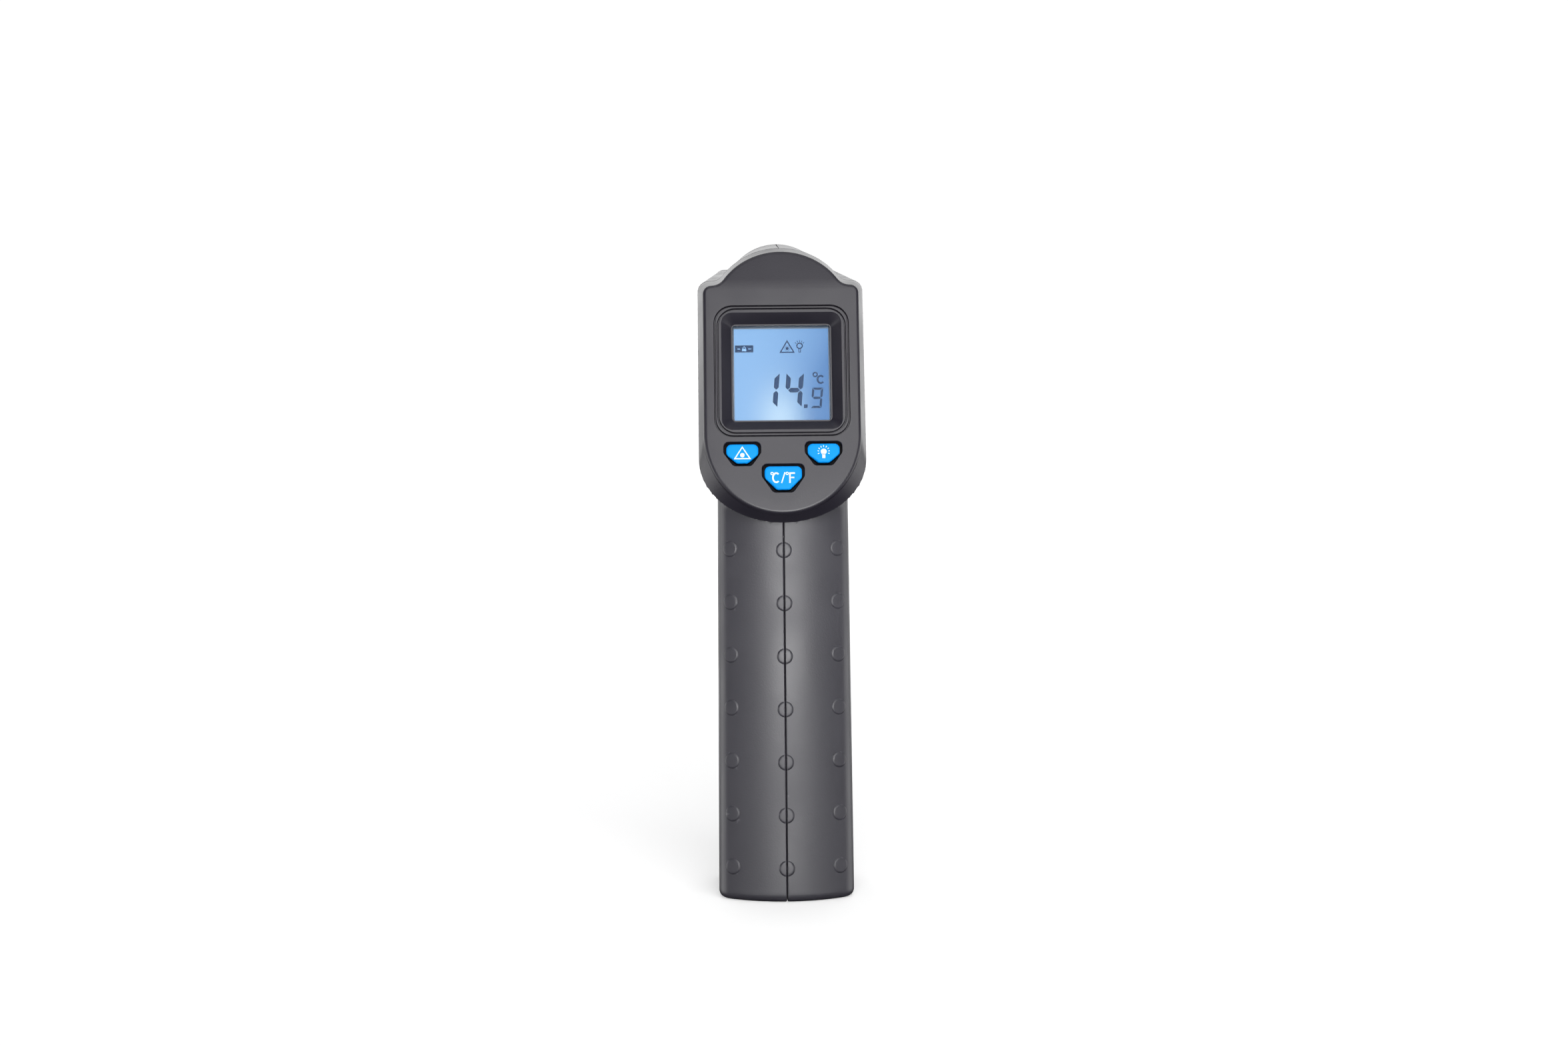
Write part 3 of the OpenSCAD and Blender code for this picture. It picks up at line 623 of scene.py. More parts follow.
def soften_edge(ob, point, normal, width, depth):
    """Rolls the outer edge of a flat parting face inwards."""
    point, normal = np.array(point, float), np.array(normal, float)
    normal /= np.linalg.norm(normal)
    for k in (1.0, 0.45):
        cut_rows(ob, point - normal * width * k, normal)
    co = np.empty(len(ob.data.vertices) * 3)
    ob.data.vertices.foreach_get("co", co)
    co = co.reshape(-1, 3)
    along = (co - point) @ normal
    s = skin_distance(co)
    g = gradient(skin_distance, co)
    g -= (g @ normal)[:, None] * normal
    g /= np.maximum(np.linalg.norm(g, axis=1), 1e-6)[:, None]
    for at, share in ((0.0, 1.0), (-0.45 * width, 0.3)):
        pick = (np.abs(along - at) < 2e-4) & (s > -0.7)
        co[pick] -= g[pick] * depth * share
    ob.data.vertices.foreach_set("co", co.ravel())
    ob.data.update()


def grip_to_world(y, z):
    """Y and Z of a point given along the grip's raked axes."""
    start = float(HALF_DEPTH - GRIP_HALF + RAKE_Z * SLOPE)
    return start + y * math.cos(RAKE) - z * math.sin(RAKE), y * math.sin(RAKE) + z * math.cos(RAKE)


def door_cutter(name, extra):
    """Solid that takes the battery door out of the wall, grown by extra."""
    split = -GRIP_HALF + DOOR_DEPTH + extra
    top = DOOR_TOP + extra
    r = DOOR_R - extra
    arc = []
    for k in range(60):
        a = math.radians(164 - k * 2.5)
        y, z = HINGE_Y + r * math.cos(a), HINGE_Z + r * math.sin(a)
        if (y - grip_to_world(split, 0)[0]) * math.cos(RAKE) + z * math.sin(RAKE) > 0:
            break
        arc.append((y, z))
    wide = [grip_to_world(split, top), grip_to_world(-30, top), (HINGE_Y - 30, arc[0][1])] + arc
    out = prism_yz(name, wide, -30, 30)
    ear = TAB_HALF + extra
    slim = [grip_to_world(split, 30), grip_to_world(-30, 30), (HINGE_Y - 30, HINGE_Z),
            grip_to_world(split, HINGE_Z)]
    return boolean(out, prism_yz("tab", slim, -ear, ear), "UNION")


def half_shell():
    """The +X half, still with sharp parting edges."""
    ob = wall_mesh("half", (-2.4, -40.6, -1.8), (22.8, 43.4, 161.4))
    boolean(ob, door_cutter("opening", GAP))
    half = TRIGGER_W / 2 + GAP
    boolean(ob, box("slot", (-half, -16.6, 90.5), (half, 0, 126)))
    boolean(ob, box("mouth", (-11.3, -10, 2.2), (11.3, HINGE_Y, 7.2)))
    boolean(ob, bar("roll", (1, 0, 0), (-11.3, HINGE_Y, HINGE_Z), 22.6, 5.3))
    boolean(ob, dot_mesh(), "UNION")
    t = math.tan(JOINT_TILT)
    low, high = -5, 165
    wedge = [(FRONT_Y, low), (JOINT_Y + (JOINT_Z - low) * t, low), (JOINT_Y - (high - JOINT_Z) * t, high),
             (FRONT_Y, high)]
    return boolean(ob, prism_yz("wedge", wedge, SEAM, 40), "INTERSECT")


def roll_edges(ob, side):
    """Softens the seam, the cover joint and the nose edge."""
    joint_out = (0, math.cos(JOINT_TILT), math.sin(JOINT_TILT))
    soften_edge(ob, (SEAM * side, 0, 0), (-side, 0, 0), 0.3, 0.4)
    soften_edge(ob, (0, JOINT_Y, JOINT_Z), joint_out, 0.3, 0.25)
    soften_edge(ob, (0, FRONT_Y, 0), (0, -1, 0), 0.3, 0.2)
    return tidy(ob)


left = half_shell()
right = copy_of(left, "right")
place(right, Matrix.Scale(-1, 4, Vector((1, 0, 0))))
outward(right)
BORE = [(2.6, -30), (2.6, -9.1), (1.5, -9.0), (1.5, 1)]
for y, z in SCREWS:
    boolean(right, lathe("bore", BORE, (1, 0, 0), (0, y, z)))
    boolean(left, bar("pilot", (1, 0, 0), (-1, y, z), 9.2, 1.36, 24))
left.name, right.name = "left_shell_skin", "right_shell_skin"
finish_piece(roll_edges(left, 1), "housing", SHELL, ["left_shell"])
finish_piece(roll_edges(right, -1), "housing", SHELL, ["right_shell"])

# ---------- Battery door ----------
door = wall_mesh("battery_door_skin", (-18.6, -6.0, 4.0), (18.6, 22.8, 92.0), parts=False)
boolean(door, door_cutter("door_form", 0.0), "INTERSECT")
roll = bar("roll", (1, 0, 0), (-11, HINGE_Y, HINGE_Z), 22, 5, 64, 0.4)
boolean(door, bar("hollow", (1, 0, 0), (-20, HINGE_Y, HINGE_Z), 40, 3.5))
boolean(roll, bar("core", (1, 0, 0), (-9, HINGE_Y, HINGE_Z), 18, 3.2))
boolean(door, roll, "UNION")
boolean(door, bar("trunnion", (1, 0, 0), (-13, HINGE_Y, HINGE_Z), 26, 1.5, 32, 0.2), "UNION")
finish_piece(tidy(door), "battery_door", SHELL, ["battery_door"])

# ---------- Outlines in the panel's own frame ----------

def outline(w, low, ell, s, r, f, hump, top, inset=0.0):
    """Points round the head outline, the same form as outline_distance."""
    w, low, ell, s, f = w - inset, low + inset, ell - inset, s - inset, f + inset
    r, hump, top = r - min(inset, r - 0.3), hump - inset, top - inset
    c = top - hump
    dy = s + f - c
    dx = math.sqrt((hump + f) ** 2 - dy ** 2)
    phi = math.atan2(dy, dx)
    quarter = math.pi / 2
    h = [(w * math.sin(a), low + ell - ell * math.cos(a)) for a in np.linspace(0, quarter, 34)]
    h += [(w, q) for q in np.linspace(low + ell, s - r, 12)[1:-1]]
    h += [(w - r + r * math.cos(a), s - r + r * math.sin(a)) for a in np.linspace(0, quarter, 8)]
    h += [(dx + f * math.cos(a), s + f + f * math.sin(a))
          for a in np.linspace(1.5 * math.pi, math.pi + phi, 9)[1:]]
    h += [(hump * math.cos(a), c + hump * math.sin(a)) for a in np.linspace(phi, quarter, 24)[1:]]
    return h + [(-x, y) for x, y in h[-2:0:-1]]


PANEL_INV = PANEL.inverted()


def joint_ring(inset=0.0, t=1.0):
    """Head section at t, seen from the panel's frame."""
    v = {k: float(q) for k, q in head_values(np.array(t)).items()}
    tilt = JOINT_TILT * t
    return [tuple(PANEL_INV @ Vector((x, FRONT_Y - u * math.sin(tilt), HUB_Z + u * math.cos(tilt))))
            for x, u in outline(**v, inset=inset)]


def face_ring(inset, depth):
    """Edge of the panel's flat face."""
    return [(-x, u, -depth) for x, u in outline(19.45, 1.8, 20, 60.2, 2.2, 3.8, 17.4, FACE, inset)]


def blend_ring(a, b, t):
    return [tuple(mix(p, q, t) for p, q in zip(v, w)) for v, w in zip(a, b)]


def square_ring(side, r, n, m=8):
    """Rounded square about the display."""
    h = side / 2 - r
    ring = []
    for cx, cy, a0 in ((h, h, 0), (-h, h, 90), (-h, -h, 180), (h, -h, 270)):
        for k in range(m + 1):
            a = math.radians(a0 + 90 * k / m)
            ring.append((cx + r * math.cos(a), DISPLAY_UP + cy + r * math.sin(a), n))
    return ring


def key_ring(k, grow, n, scale=1.0):
    """Rounded six-sided key outline, wider at the top."""
    x0, y0, top, bottom, height = k
    r = 1.3
    w1, w0, h = top / 2 + grow - r, bottom / 2 + grow - r, height / 2 + grow - r
    corners = [(-w0, -h), (w0, -h), (w1, h * 0.35), (w1, h), (-w1, h), (-w1, h * 0.35)]
    ring = []
    for i, (x, y) in enumerate(corners):
        (px, py), (qx, qy) = corners[i - 1], corners[(i + 1) % 6]
        a = math.atan2(y - py, x - px) - math.pi / 2
        b = math.atan2(qy - y, qx - x) - math.pi / 2
        while b < a:
            b += 2 * math.pi
        for t in range(7):
            g = mix(a, b, t / 6)
            ring.append((x0 + scale * (x + r * math.cos(g)), y0 + scale * (y + r * math.sin(g)), n))
    return ring


# Each key's place across and up, its width at the top and at the bottom, and its height
KEYS = {"laser": (-10, 17, 7.9, 4.4, 4.8), "backlight": (10, 17, 7.9, 4.4, 4.8),
        "unit": (0, 10.85, 9.2, 4.8, 5.9)}


def closed_rings(name, loops):
    """Ring-shaped solid through loops of equal length, the last joined to the first."""
    n, m = len(loops[0]), len(loops)
    faces = []
    for k in range(m):
        a, b = k * n, ((k + 1) % m) * n
        for i in range(n):
            j = (i + 1) % n
            faces.append([a + i, b + i, b + j, a + j])
    return outward(mesh_object(name, np.concatenate([np.array(q) for q in loops]), faces))


def frame_ring(side, width, depth):
    """Ring-shaped cutter for the grooves about the display."""
    inner = side - 2 * width
    return closed_rings("groove", [
        square_ring(side + 0.16, 4.68, 0.3), square_ring(side, 4.6, -depth * 0.7),
        square_ring(side - 0.2, 4.5, -depth), square_ring(inner + 0.2, 4.3, -depth),
        square_ring(inner, 4.2, -depth * 0.7), square_ring(inner - 0.16, 4.12, 0.3)])


def bend_hump(ob):
    """Leans the hump forward above a soft bend, leaving the joint where it is."""
    a, b = BEND_LOW, BEND_HIGH
    for k in range(9):
        cut_rows(ob, (0, mix(a, b, k / 8), 0), (0, 1, 0))
    co = np.empty(len(ob.data.vertices) * 3)
    ob.data.vertices.foreach_get("co", co)
    co = co.reshape(-1, 3)
    u = co[:, 1]
    past = np.where(u < b, (u - a) ** 2 / (2 * (b - a)), u - (a + b) / 2)
    drop = np.where(u < a, 0, past) * math.tan(LEAN)
    joint = -(SKIRT + (SKIRT_TOP - SKIRT) * u / FACE)
    co[:, 2] -= drop * np.clip((co[:, 2] - joint) / -joint, 0, 1)
    ob.data.vertices.foreach_set("co", co.ravel())
    ob.data.update()


def cover_piece():
    """Display panel frame in the panel's own frame."""
    face0 = face_ring(0, 1)
    rings = [joint_ring(0.2), blend_ring(joint_ring(), face0, 0.06)]
    rings += [blend_ring(joint_ring(), face0, t) for t in (0.35, 0.7, 0.93)]
    rings += [face_ring(1 - math.cos(a), 1 - math.sin(a)) for a in np.linspace(0, math.pi / 2, 8)]
    ob = loft("cover_skin", rings)
    boolean(ob, loft("hollow", [joint_ring(2, 0.95), face_ring(2, 3.0), face_ring(3, 3.2)]))
    plate = loft("plate", [square_ring(32, 3, -3.0), square_ring(32, 3, -1.5)])
    boolean(ob, plate, "UNION")
    boolean(ob, loft("recess", [square_ring(30.2, 2.7, 0.2), square_ring(29.75, 2.6, -0.04),
                                square_ring(29.4, 2.5, -0.2), square_ring(25.0, 1.25, -2.1),
                                square_ring(24.9, 1.2, -2.18)]))
    boolean(ob, loft("opening", [square_ring(24.2, 0.6, -1.9), square_ring(24.2, 0.6, -6)]))
    boolean(ob, frame_ring(33.5, 0.4, 0.9))
    boolean(ob, frame_ring(32.0, 0.4, 0.8))
    for k in KEYS.values():
        steps = ((0.85, 0.2), (0.68, -0.06), (0.6, -0.2), (0.6, -7))
        boolean(ob, loft("hole", [key_ring(k, grow, n) for grow, n in steps]))
    bend_hump(ob)
    return tidy(ob)


cover = cover_piece()
place(cover, PANEL)
finish_piece(cover, "housing", COVER, ["rear_cover"], smooth=32)

# ---------- Display ----------

def at_display(ob):
    """Display pieces keep their own frame, centred on the display."""
    ob.data.transform(Matrix.Translation(Vector((0, -DISPLAY_UP, 0))))
    return PANEL_M @ Matrix.Translation(Vector((0, DISPLAY_UP * MM, 0)))


pane = loft("window_pane", [square_ring(26.2, 0.5, -3.98), square_ring(26.4, 0.6, -3.85),
                            square_ring(26.4, 0.6, -3.12), square_ring(26.2, 0.5, -3.0)])
finish_piece(pane, "housing", WINDOW, ["display_window"], matrix=at_display(pane))
cell = box("display_cell", (-13.4, 24.2, -6.0), (13.4, 51.8, -4.2))
finish_piece(bevel(cell, 0.15), "housing", DISPLAY, ["lcd_cell"], matrix=at_display(cell))
cell.visible_diffuse = False
cell.visible_glossy = False


class Glyphs:
    """Flat marks collected into one thin mesh."""

    def __init__(self, n0, n1):
        self.verts, self.faces, self.n0, self.n1 = [], [], n0, n1

    def poly(self, pts):
        """Convex outline in either direction."""
        area = sum(a[0] * b[1] - b[0] * a[1] for a, b in zip(pts, pts[1:] + pts[:1]))
        if area < 0:
            pts = pts[::-1]
        s, n = len(self.verts), len(pts)
        self.verts += [(x, y, self.n0) for x, y in pts] + [(x, y, self.n1) for x, y in pts]
        self.faces += [[s + i for i in range(n - 1, -1, -1)], [s + n + i for i in range(n)]]
        self.faces += [[s + i, s + (i + 1) % n, s + n + (i + 1) % n, s + n + i] for i in range(n)]

    def rect(self, x0, y0, x1, y1):
        self.poly([(x0, y0), (x1, y0), (x1, y1), (x0, y1)])

    def disc(self, x, y, r, n=24):
        turns = [2 * math.pi * i / n for i in range(n)]
        self.poly([(x + r * math.cos(a), y + r * math.sin(a)) for a in turns])

    def stroke(self, pts, width, closed=False):
        """Band along a path, mitred so that its pieces meet edge to edge."""
        pts = [np.array(p, float) for p in pts]
        n = len(pts)
        left_side, right_side = [], []
        for i in range(n):
            a = pts[i - 1] if (i > 0 or closed) else pts[i]
            b = pts[(i + 1) % n] if (i < n - 1 or closed) else pts[i]
            d0 = pts[i] - a if (i > 0 or closed) else b - pts[i]
            d1 = b - pts[i] if (i < n - 1 or closed) else pts[i] - a
            d0, d1 = d0 / np.linalg.norm(d0), d1 / np.linalg.norm(d1)
            m = np.array([-(d0[1] + d1[1]), d0[0] + d1[0]])
            m /= np.linalg.norm(m)
            k = width / 2 / max(0.3, m @ np.array([-d0[1], d0[0]]))
            left_side.append(pts[i] + m * k)
            right_side.append(pts[i] - m * k)
        s = len(self.verts)
        for level in (self.n0, self.n1):
            self.verts += [(x, y, level) for x, y in left_side + right_side]
        t = 2 * n
        for i in range(n if closed else n - 1):
            j = (i + 1) % n
            l0, l1, r0, r1 = s + i, s + j, s + n + i, s + n + j
            self.faces += [[t + l0, t + r0, t + r1, t + l1], [l1, r1, r0, l0],
                           [l0, t + l0, t + l1, l1], [r1, t + r1, t + r0, r0]]
        if not closed:
            for i, rev in ((0, False), (n - 1, True)):
                f = [s + i, s + n + i, t + s + n + i, t + s + i]
                self.faces.append(f[::-1] if rev else f)

    def arc(self, x, y, rx, ry, a0, a1, width, n=20, closed=False):
        steps = n if closed else n - 1
        turns = [math.radians(mix(a0, a1, i / steps)) for i in range(n)]
        self.stroke([(x + rx * math.cos(a), y + ry * math.sin(a)) for a in turns], width, closed)

    def piece(self, name):
        return outward(mesh_object(name, self.verts, self.faces))


def segment_digit(g, digit, x, y, w, h, t, slant):
    """Seven-segment digit; x, y is the middle of its lower left corner."""
    half = h / 2
    e, gap = t / 2, 0.07 * t + 0.05
    lit = {"1": "bc", "4": "fgbc", "9": "abcdfg"}[digit]
    shapes = {
        "g": [(gap, half), (e + gap, half + e), (w - e - gap, half + e), (w - gap, half),
              (w - e - gap, half - e), (e + gap, half - e)],
        "a": [(-e + gap, h + e), (w + e - gap, h + e), (w - e - gap, h - e), (e + gap, h - e)],
        "d": [(-e + gap, -e), (w + e - gap, -e), (w - e - gap, e), (e + gap, e)],
        "b": [(w, half + gap), (w + e, half + e + gap), (w + e, h + e - gap),
              (w - e, h - e - gap), (w - e, half + e + gap)],
        "f": [(0, half + gap), (-e, half + e + gap), (-e, h + e - gap),
              (e, h - e - gap), (e, half + e + gap)],
        "c": [(w, half - gap), (w + e, half - e - gap), (w + e, -e + gap),
              (w - e, e + gap), (w - e, half - e - gap)],
    }
    for name in lit:
        g.poly([(x + px + py * slant, y + py) for px, py in shapes[name]])


def ring_mask(g, outer, inner):
    """Square band about the display, in four mitred strips."""
    a, b = outer / 2, inner / 2
    for k in range(4):
        c, s = math.cos(math.radians(90 * k)), math.sin(math.radians(90 * k))
        pts = [(-a, -a), (a, -a), (b, -b), (-b, -b)]
        g.poly([(x * c - y * s, DISPLAY_UP + x * s + y * c) for x, y in pts])


def rays(g, x, y, r0, r1, width, angles):
    """Short strokes that point away from x, y."""
    for a in angles:
        c, s = math.cos(math.radians(a)), math.sin(math.radians(a))
        g.stroke([(x + r0 * c, y + r0 * s), (x + r1 * c, y + r1 * s)], width)


for name, levels, outer, look in (("display_mask", (-4.19, -4.12), 26.4, BLACK),
                                  ("display_rim", (-4.13, -4.08), 24.1, RIM)):
    band = Glyphs(*levels)
    ring_mask(band, outer, 23.5)
    band = band.piece(name)
    finish_piece(band, "housing", look, (), smooth=0, matrix=at_display(band))

ink = Glyphs(-4.19, -4.14)
cy = DISPLAY_UP
segment_digit(ink, "1", -4.91, cy - 7.77, 3.18, 7.55, 1.2, 0.085)
segment_digit(ink, "4", 1.15, cy - 7.77, 3.18, 7.55, 1.16, 0.085)
segment_digit(ink, "9", 7.4, cy - 8.33, 2.17, 4.65, 0.56, 0.1)
ink.poly([(5.42, cy - 8.58), (6.33, cy - 8.58), (6.4, cy - 7.65), (5.5, cy - 7.65)])
ink.arc(8.38, cy - 0.05, 0.51, 0.51, 0, 360, 0.32, 20, True)
ink.arc(9.75, cy - 1.31, 0.8, 0.93, 42, 318, 0.44, 22)
ink.stroke([(1.48, cy + 8.6), (3.15, cy + 5.72), (-0.19, cy + 5.72)], 0.3, True)
ink.disc(1.5, cy + 6.71, 0.37)
rays(ink, 1.5, cy + 6.71, 0.42, 0.8, 0.07, range(0, 360, 30))
ink.arc(4.6, cy + 7.36, 0.68, 0.68, 0, 360, 0.3, 24, True)
ink.stroke([(4.4, cy + 6.6), (4.4, cy + 5.76), (4.84, cy + 5.76), (4.84, cy + 6.6)], 0.17)
rays(ink, 4.6, cy + 7.36, 0.98, 1.42, 0.15, (38, 64, 90, 116, 142))
x0, x1, y0, y1 = -11.5, -6.95, cy + 5.78, cy + 7.58
ink.rect(x0, y0, x1, y1)
ink = ink.piece("display_segments")
finish_piece(ink, "housing", DIGIT, (), smooth=0, matrix=at_display(ink))

# A plain padlock stands in the inverse flag
flag = Glyphs(-4.13, -4.1)
lx = (x0 + x1) / 2
flag.rect(lx - 0.55, y0 + 0.3, lx + 0.55, y0 + 0.95)
flag.arc(lx, y0 + 1.0, 0.33, 0.42, 0, 180, 0.16, 12)
for side in (-1, 1):
    flag.rect(lx + side * 1.0, y0 + 0.78, lx + side * 1.75, y0 + 0.96)
flag = flag.piece("display_flag")
finish_piece(flag, "housing", FLAG, (), smooth=0, matrix=at_display(flag))

# ---------- Panel keys ----------

def key_piece(name, k):
    """Key with its flange, a rounded rim and a slightly crowned top."""
    steps = ((1.3, -3.4), (1.3, -2.3), (0, -2.3), (0, -0.2), (-0.02, 0.0), (-0.09, 0.15), (-0.2, 0.26),
             (-0.36, 0.33), (-0.6, 0.37), (-0.6, 0.39, 0.8), (-0.6, 0.395, 0.4))
    return place(loft(name, [key_ring(k, *step) for step in steps]), PANEL)


for key in KEYS:
    cap = key_piece(key + "_cap", KEYS[key])
    finish_piece(cap, key + "_key", KEY, [key + "_key"], smooth=60)

PRINT_LEVELS = (0.36, 0.42)
mark = Glyphs(*PRINT_LEVELS)
lx, ly = KEYS["laser"][:2]
mark.stroke([(lx, ly + 1.6), (lx + 1.9, ly - 1.3), (lx - 1.9, ly - 1.3)], 0.27, True)
mark.disc(lx, ly - 0.42, 0.56)
print_laser = place(mark.piece("laser_symbol"), PANEL)
finish_piece(print_laser, "laser_key", PRINT, (), smooth=0)

mark = Glyphs(*PRINT_LEVELS)
bx, by = KEYS["backlight"][:2]
mark.disc(bx, by + 0.3, 0.75)
mark.rect(bx - 0.38, by - 1.35, bx + 0.38, by - 0.2)
for i in range(9):
    a = math.radians(-20 + 27.5 * i)
    c, s = math.cos(a), math.sin(a)
    mark.stroke([(bx + 1.15 * c, by + 0.3 + 1.15 * s), (bx + 1.55 * c, by + 0.3 + 1.6 * s)], 0.2)
print_light = place(mark.piece("backlight_symbol"), PANEL)
finish_piece(print_light, "backlight_key", PRINT, (), smooth=0)

mark = Glyphs(*PRINT_LEVELS)
ux, uy = KEYS["unit"][:2]
mark.arc(ux - 1.75, uy, 0.82, 1.15, 48, 312, 0.4, 22)
mark.arc(ux - 2.75, uy + 1.05, 0.3, 0.3, 0, 360, 0.2, 16, True)
mark.stroke([(ux - 0.45, uy - 1.35), (ux + 0.4, uy + 1.35)], 0.3)
mark.stroke([(ux + 1.6, uy - 1.35), (ux + 1.6, uy + 1.12), (ux + 2.85, uy + 1.12)], 0.4)
mark.stroke([(ux + 1.8, uy + 0.02), (ux + 2.7, uy + 0.02)], 0.36)
mark.arc(ux + 0.95, uy + 1.05, 0.3, 0.3, 0, 360, 0.2, 16, True)
print_unit = place(mark.piece("unit_symbol"), PANEL)
finish_piece(print_unit, "unit_key", PRINT, (), smooth=0)

# ---------- Nose ----------

FORWARD = (0, -1, 0)


def nose_ring(inset, y):
    """Head outline at the nose."""
    v = {k: float(q) for k, q in head_values(np.array(0.0)).items()}
    return [(x, y, HUB_Z + u) for x, u in outline(**v, inset=inset)]


rings = [nose_ring(2.2, -34), nose_ring(2.2, -37), nose_ring(0.2, -37.02), nose_ring(0.0, -37.25)]
rings += [nose_ring(1.2 * (1 - math.cos(a)), -39.8 - 1.2 * math.sin(a))
          for a in np.linspace(0, math.pi / 2, 8)]
bezel = loft("nose_bezel_skin", rings)
mouth = [(9.1, -9), (9.1, -4), (9.25, -3.8), (12.5, -0.15), (12.75, 0.12), (13.3, 5)]
boolean(bezel, lathe("mouth", mouth, FORWARD, (0, -HALF_DEPTH, SENSOR_Z), 96))
hole = [(3.05, -9), (3.05, -5.6), (1.8, -5.6), (1.8, -0.35), (2.2, 0.05), (2.6, 0.4)]
boolean(bezel, lathe("laser_hole", hole, FORWARD, (0, -HALF_DEPTH, LASER_Z), 48))
finish_piece(tidy(bezel), "housing", BLACK, ["nose_bezel"])

LENS_Y = FRONT_Y + 2.3
profile = [(7.5, -1.2), (7.5, 0.0)]
profile += [(7.5 * math.cos(a), 0.75 * math.sin(a)) for a in np.linspace(0.12, 1.5, 14)]
lens = lathe("lens_face", profile, FORWARD, (0, LENS_Y, SENSOR_Z), 96)
finish_piece(lens, "housing", LENS, ["lens"])

ring_profile = [(6.4, 0), (7.55, 0), (7.55, 2.5), (7.35, 2.7), (6.9, 2.7)]
for i in range(4):
    ring_profile += [(6.75 - 0.06 * i, 2.5 - 0.6 * i), (6.45, 2.25 - 0.6 * i)]
turns = np.linspace(0, 2 * math.pi, 96, endpoint=False)
lens_ring = closed_rings("lens_ring_turned", [
    [(r * math.cos(a), LENS_Y - h, SENSOR_Z + r * math.sin(a)) for a in turns] for r, h in ring_profile])
finish_piece(lens_ring, "housing", BLACK, ["lens_ring"], smooth=30)

pane = [(2.9, 0), (2.95, 0.1), (2.95, 1.0), (2.85, 1.1)]
pane = lathe("laser_pane", pane, FORWARD, (0, FRONT_Y - 0.4, LASER_Z), 48)
finish_piece(pane, "housing", RED_WINDOW, ["laser_window"])

# ---------- Trigger ----------
def arc_yz(y, z, r, a0, a1, n):
    return [(y + r * math.cos(a), z + r * math.sin(a)) for a in np.radians(np.linspace(a0, a1, n))]


path = [(mix(-14.8, -15.9, q) + 3.1 * math.sin(math.pi * q), mix(118.5, 92.6, q))
        for q in np.linspace(0, 1, 32)]
path += arc_yz(-14.4, 92.4, 1.6, 200, 320, 12) + [(-9.5, 92.6), (-2, 92.6), (-2, 103.4)]
path += arc_yz(-1, 105, 1.5, -80, 80, 14) + [(-2, 106.6), (-2.6, 119)]
path += arc_yz(TRIGGER_Y, TRIGGER_Z, 3.6, 0, 120, 14) + [(-12, 121)]
trigger = outward(prism_yz("trigger_blade", path, -TRIGGER_W / 2, TRIGGER_W / 2))
bevel(trigger, 0.9, 4, 50)
boolean(trigger, bar("pin_bore", (1, 0, 0), (-10, TRIGGER_Y, TRIGGER_Z), 20, 1.3, 48))
boolean(trigger, bar("spring_pocket", (0, 1, 0), (0, -6, 96), 7, 2.9, 48))
finish_piece(tidy(trigger), "trigger", TRIGGER_BLUE, ["trigger"])

# ---------- Hidden and small pieces keep their CAD form ----------
CAD_LOOKS = {
    "lcd_frame": WHITE, "backlight_guide": GUIDE, "backlight_leds": WHITE, "zebra_strip": ELASTOMER,
    "main_board": BOARD, "key_switches": BLACK, "controller_chip": BLACK, "buzzer": BLACK,
    "sensor_tube": BLACK, "thermopile": STEEL, "sensor_board": BOARD, "sensor_ribbon": RIBBON,
    "laser_module": BRASS, "laser_lead": RED, "switch_board": BOARD, "trigger_switch": BLACK,
    "switch_plunger": PLUNGER, "trigger_pin": STEEL, "trigger_spring": STEEL, "battery": JACKET,
    "battery_terminals": STEEL, "battery_snap": BLACK, "lead_red": RED, "lead_black": DARK,
    "battery_pad": FOAM, "laser_plunger": PLUNGER, "unit_plunger": PLUNGER,
    "backlight_plunger": PLUNGER, "shell_screws": STEEL, "board_screws": STEEL,
}
for node, look in CAD_LOOKS.items():
    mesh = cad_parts[node].data
    mesh.materials.clear()
    mesh.materials.append(look)

# ---------- Stage, light and camera ----------
FLOOR_R, FLOOR_SIDES = 0.9, 96
turns = np.linspace(0, 2 * math.pi, FLOOR_SIDES, endpoint=False)
floor_verts = [(FLOOR_R * math.cos(a), FLOOR_R * math.sin(a), 0) for a in turns]
floor = mesh_object("floor", floor_verts, [list(range(FLOOR_SIDES))])
floor.data.materials.append(pale_floor("floor_white"))
floor.visible_diffuse = False
floor.visible_glossy = False
floor.visible_shadow = False

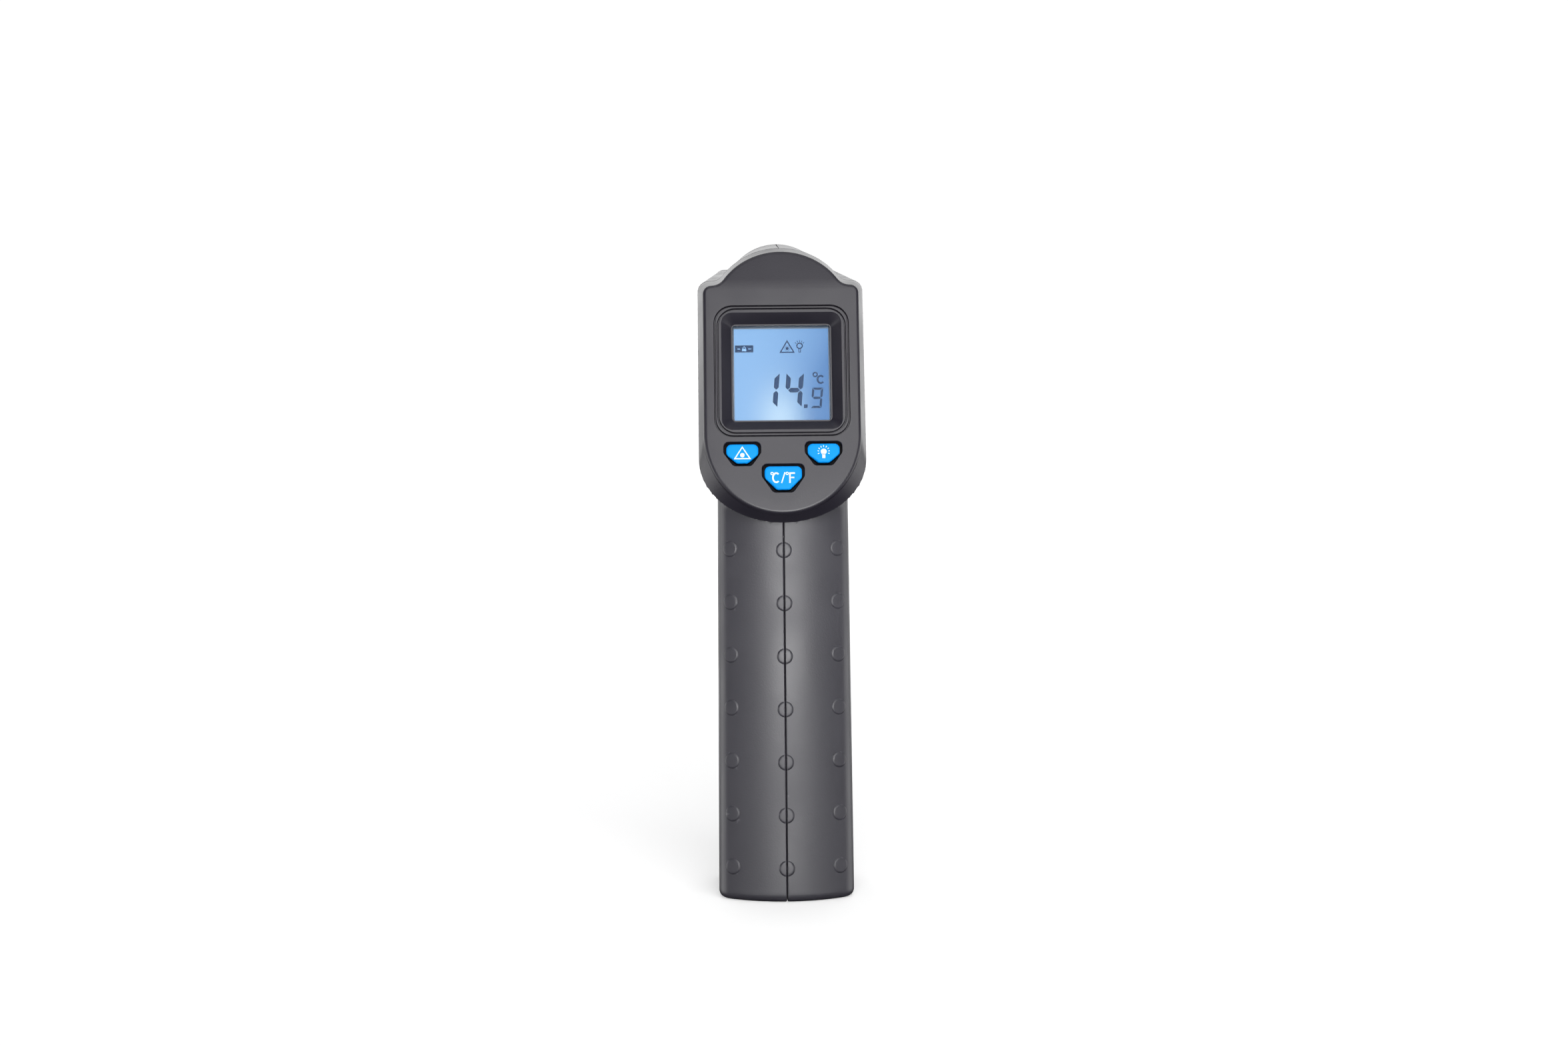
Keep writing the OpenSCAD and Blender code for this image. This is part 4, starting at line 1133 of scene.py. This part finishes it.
world = bpy.data.worlds.new("studio")
world.use_nodes = True
world.node_tree.nodes["Background"].inputs[0].default_value = (1, 1, 1, 1)
world.node_tree.nodes["Background"].inputs[1].default_value = 1.05
world.cycles_visibility.diffuse = False
world.cycles_visibility.glossy = False
world.cycles_visibility.transmission = False
bpy.context.scene.world = world


def softbox(name, at, aim, size, radiance, spread=180):
    """Rectangular light of a given brightness, whatever its size."""
    light = bpy.data.lights.new(name, "AREA")
    light.shape, light.size, light.size_y = "RECTANGLE", size[0], size[1]
    light.energy = radiance * math.pi * size[0] * size[1]
    light.spread = math.radians(spread)
    ob = bpy.data.objects.new(name, light)
    bpy.context.scene.collection.objects.link(ob)
    ob.location = at
    ob.rotation_euler = (Vector(aim) - Vector(at)).to_track_quat("-Z", "Y").to_euler()
    ob.visible_camera = False


middle = (0, 0, 0.09)
softbox("face", (-0.2, 0.9, 0.8), middle, (1.3, 0.6), 3.6)
softbox("bounce", (-0.02, 1.0, -0.1), middle, (2.4, 0.22), 3.1)
softbox("head", (-0.03, 0.6, 0.15), (0, 0.03, 0.12), (0.4, 0.16), 1.6, 50)
softbox("behind", (0, -1.1, 0.35), middle, (2.6, 1.2), 2.0)
softbox("above", (0, -0.1, 1.3), middle, (1.4, 1.4), 0.9)
softbox("side_left", (1.0, -0.1, -0.05), middle, (0.9, 0.6), 2.9)
softbox("side_right", (-1.0, -0.1, -0.05), middle, (0.9, 0.6), 2.5)

camera_data = bpy.data.cameras.new("camera")
camera_data.lens, camera_data.sensor_width = 64.0, 36.0
camera_data.clip_start, camera_data.clip_end = 0.01, 50
camera = bpy.data.objects.new("camera", camera_data)
bpy.context.scene.collection.objects.link(camera)
aim = Vector((0, LIP_Y * MM, 0.0939))
azimuth, elevation, distance, roll = math.radians(1.2), math.radians(7), 0.682, math.radians(-0.45)
level = math.cos(elevation)
away = Vector((math.sin(azimuth) * level, math.cos(azimuth) * level, math.sin(elevation)))
camera.location = aim + away * distance
turn = (-away).to_track_quat("-Z", "Y").to_matrix() @ Matrix.Rotation(roll, 3, "Z")
camera.rotation_euler = turn.to_euler()
bpy.context.scene.camera = camera
bpy.context.scene.view_settings.view_transform = "Standard"
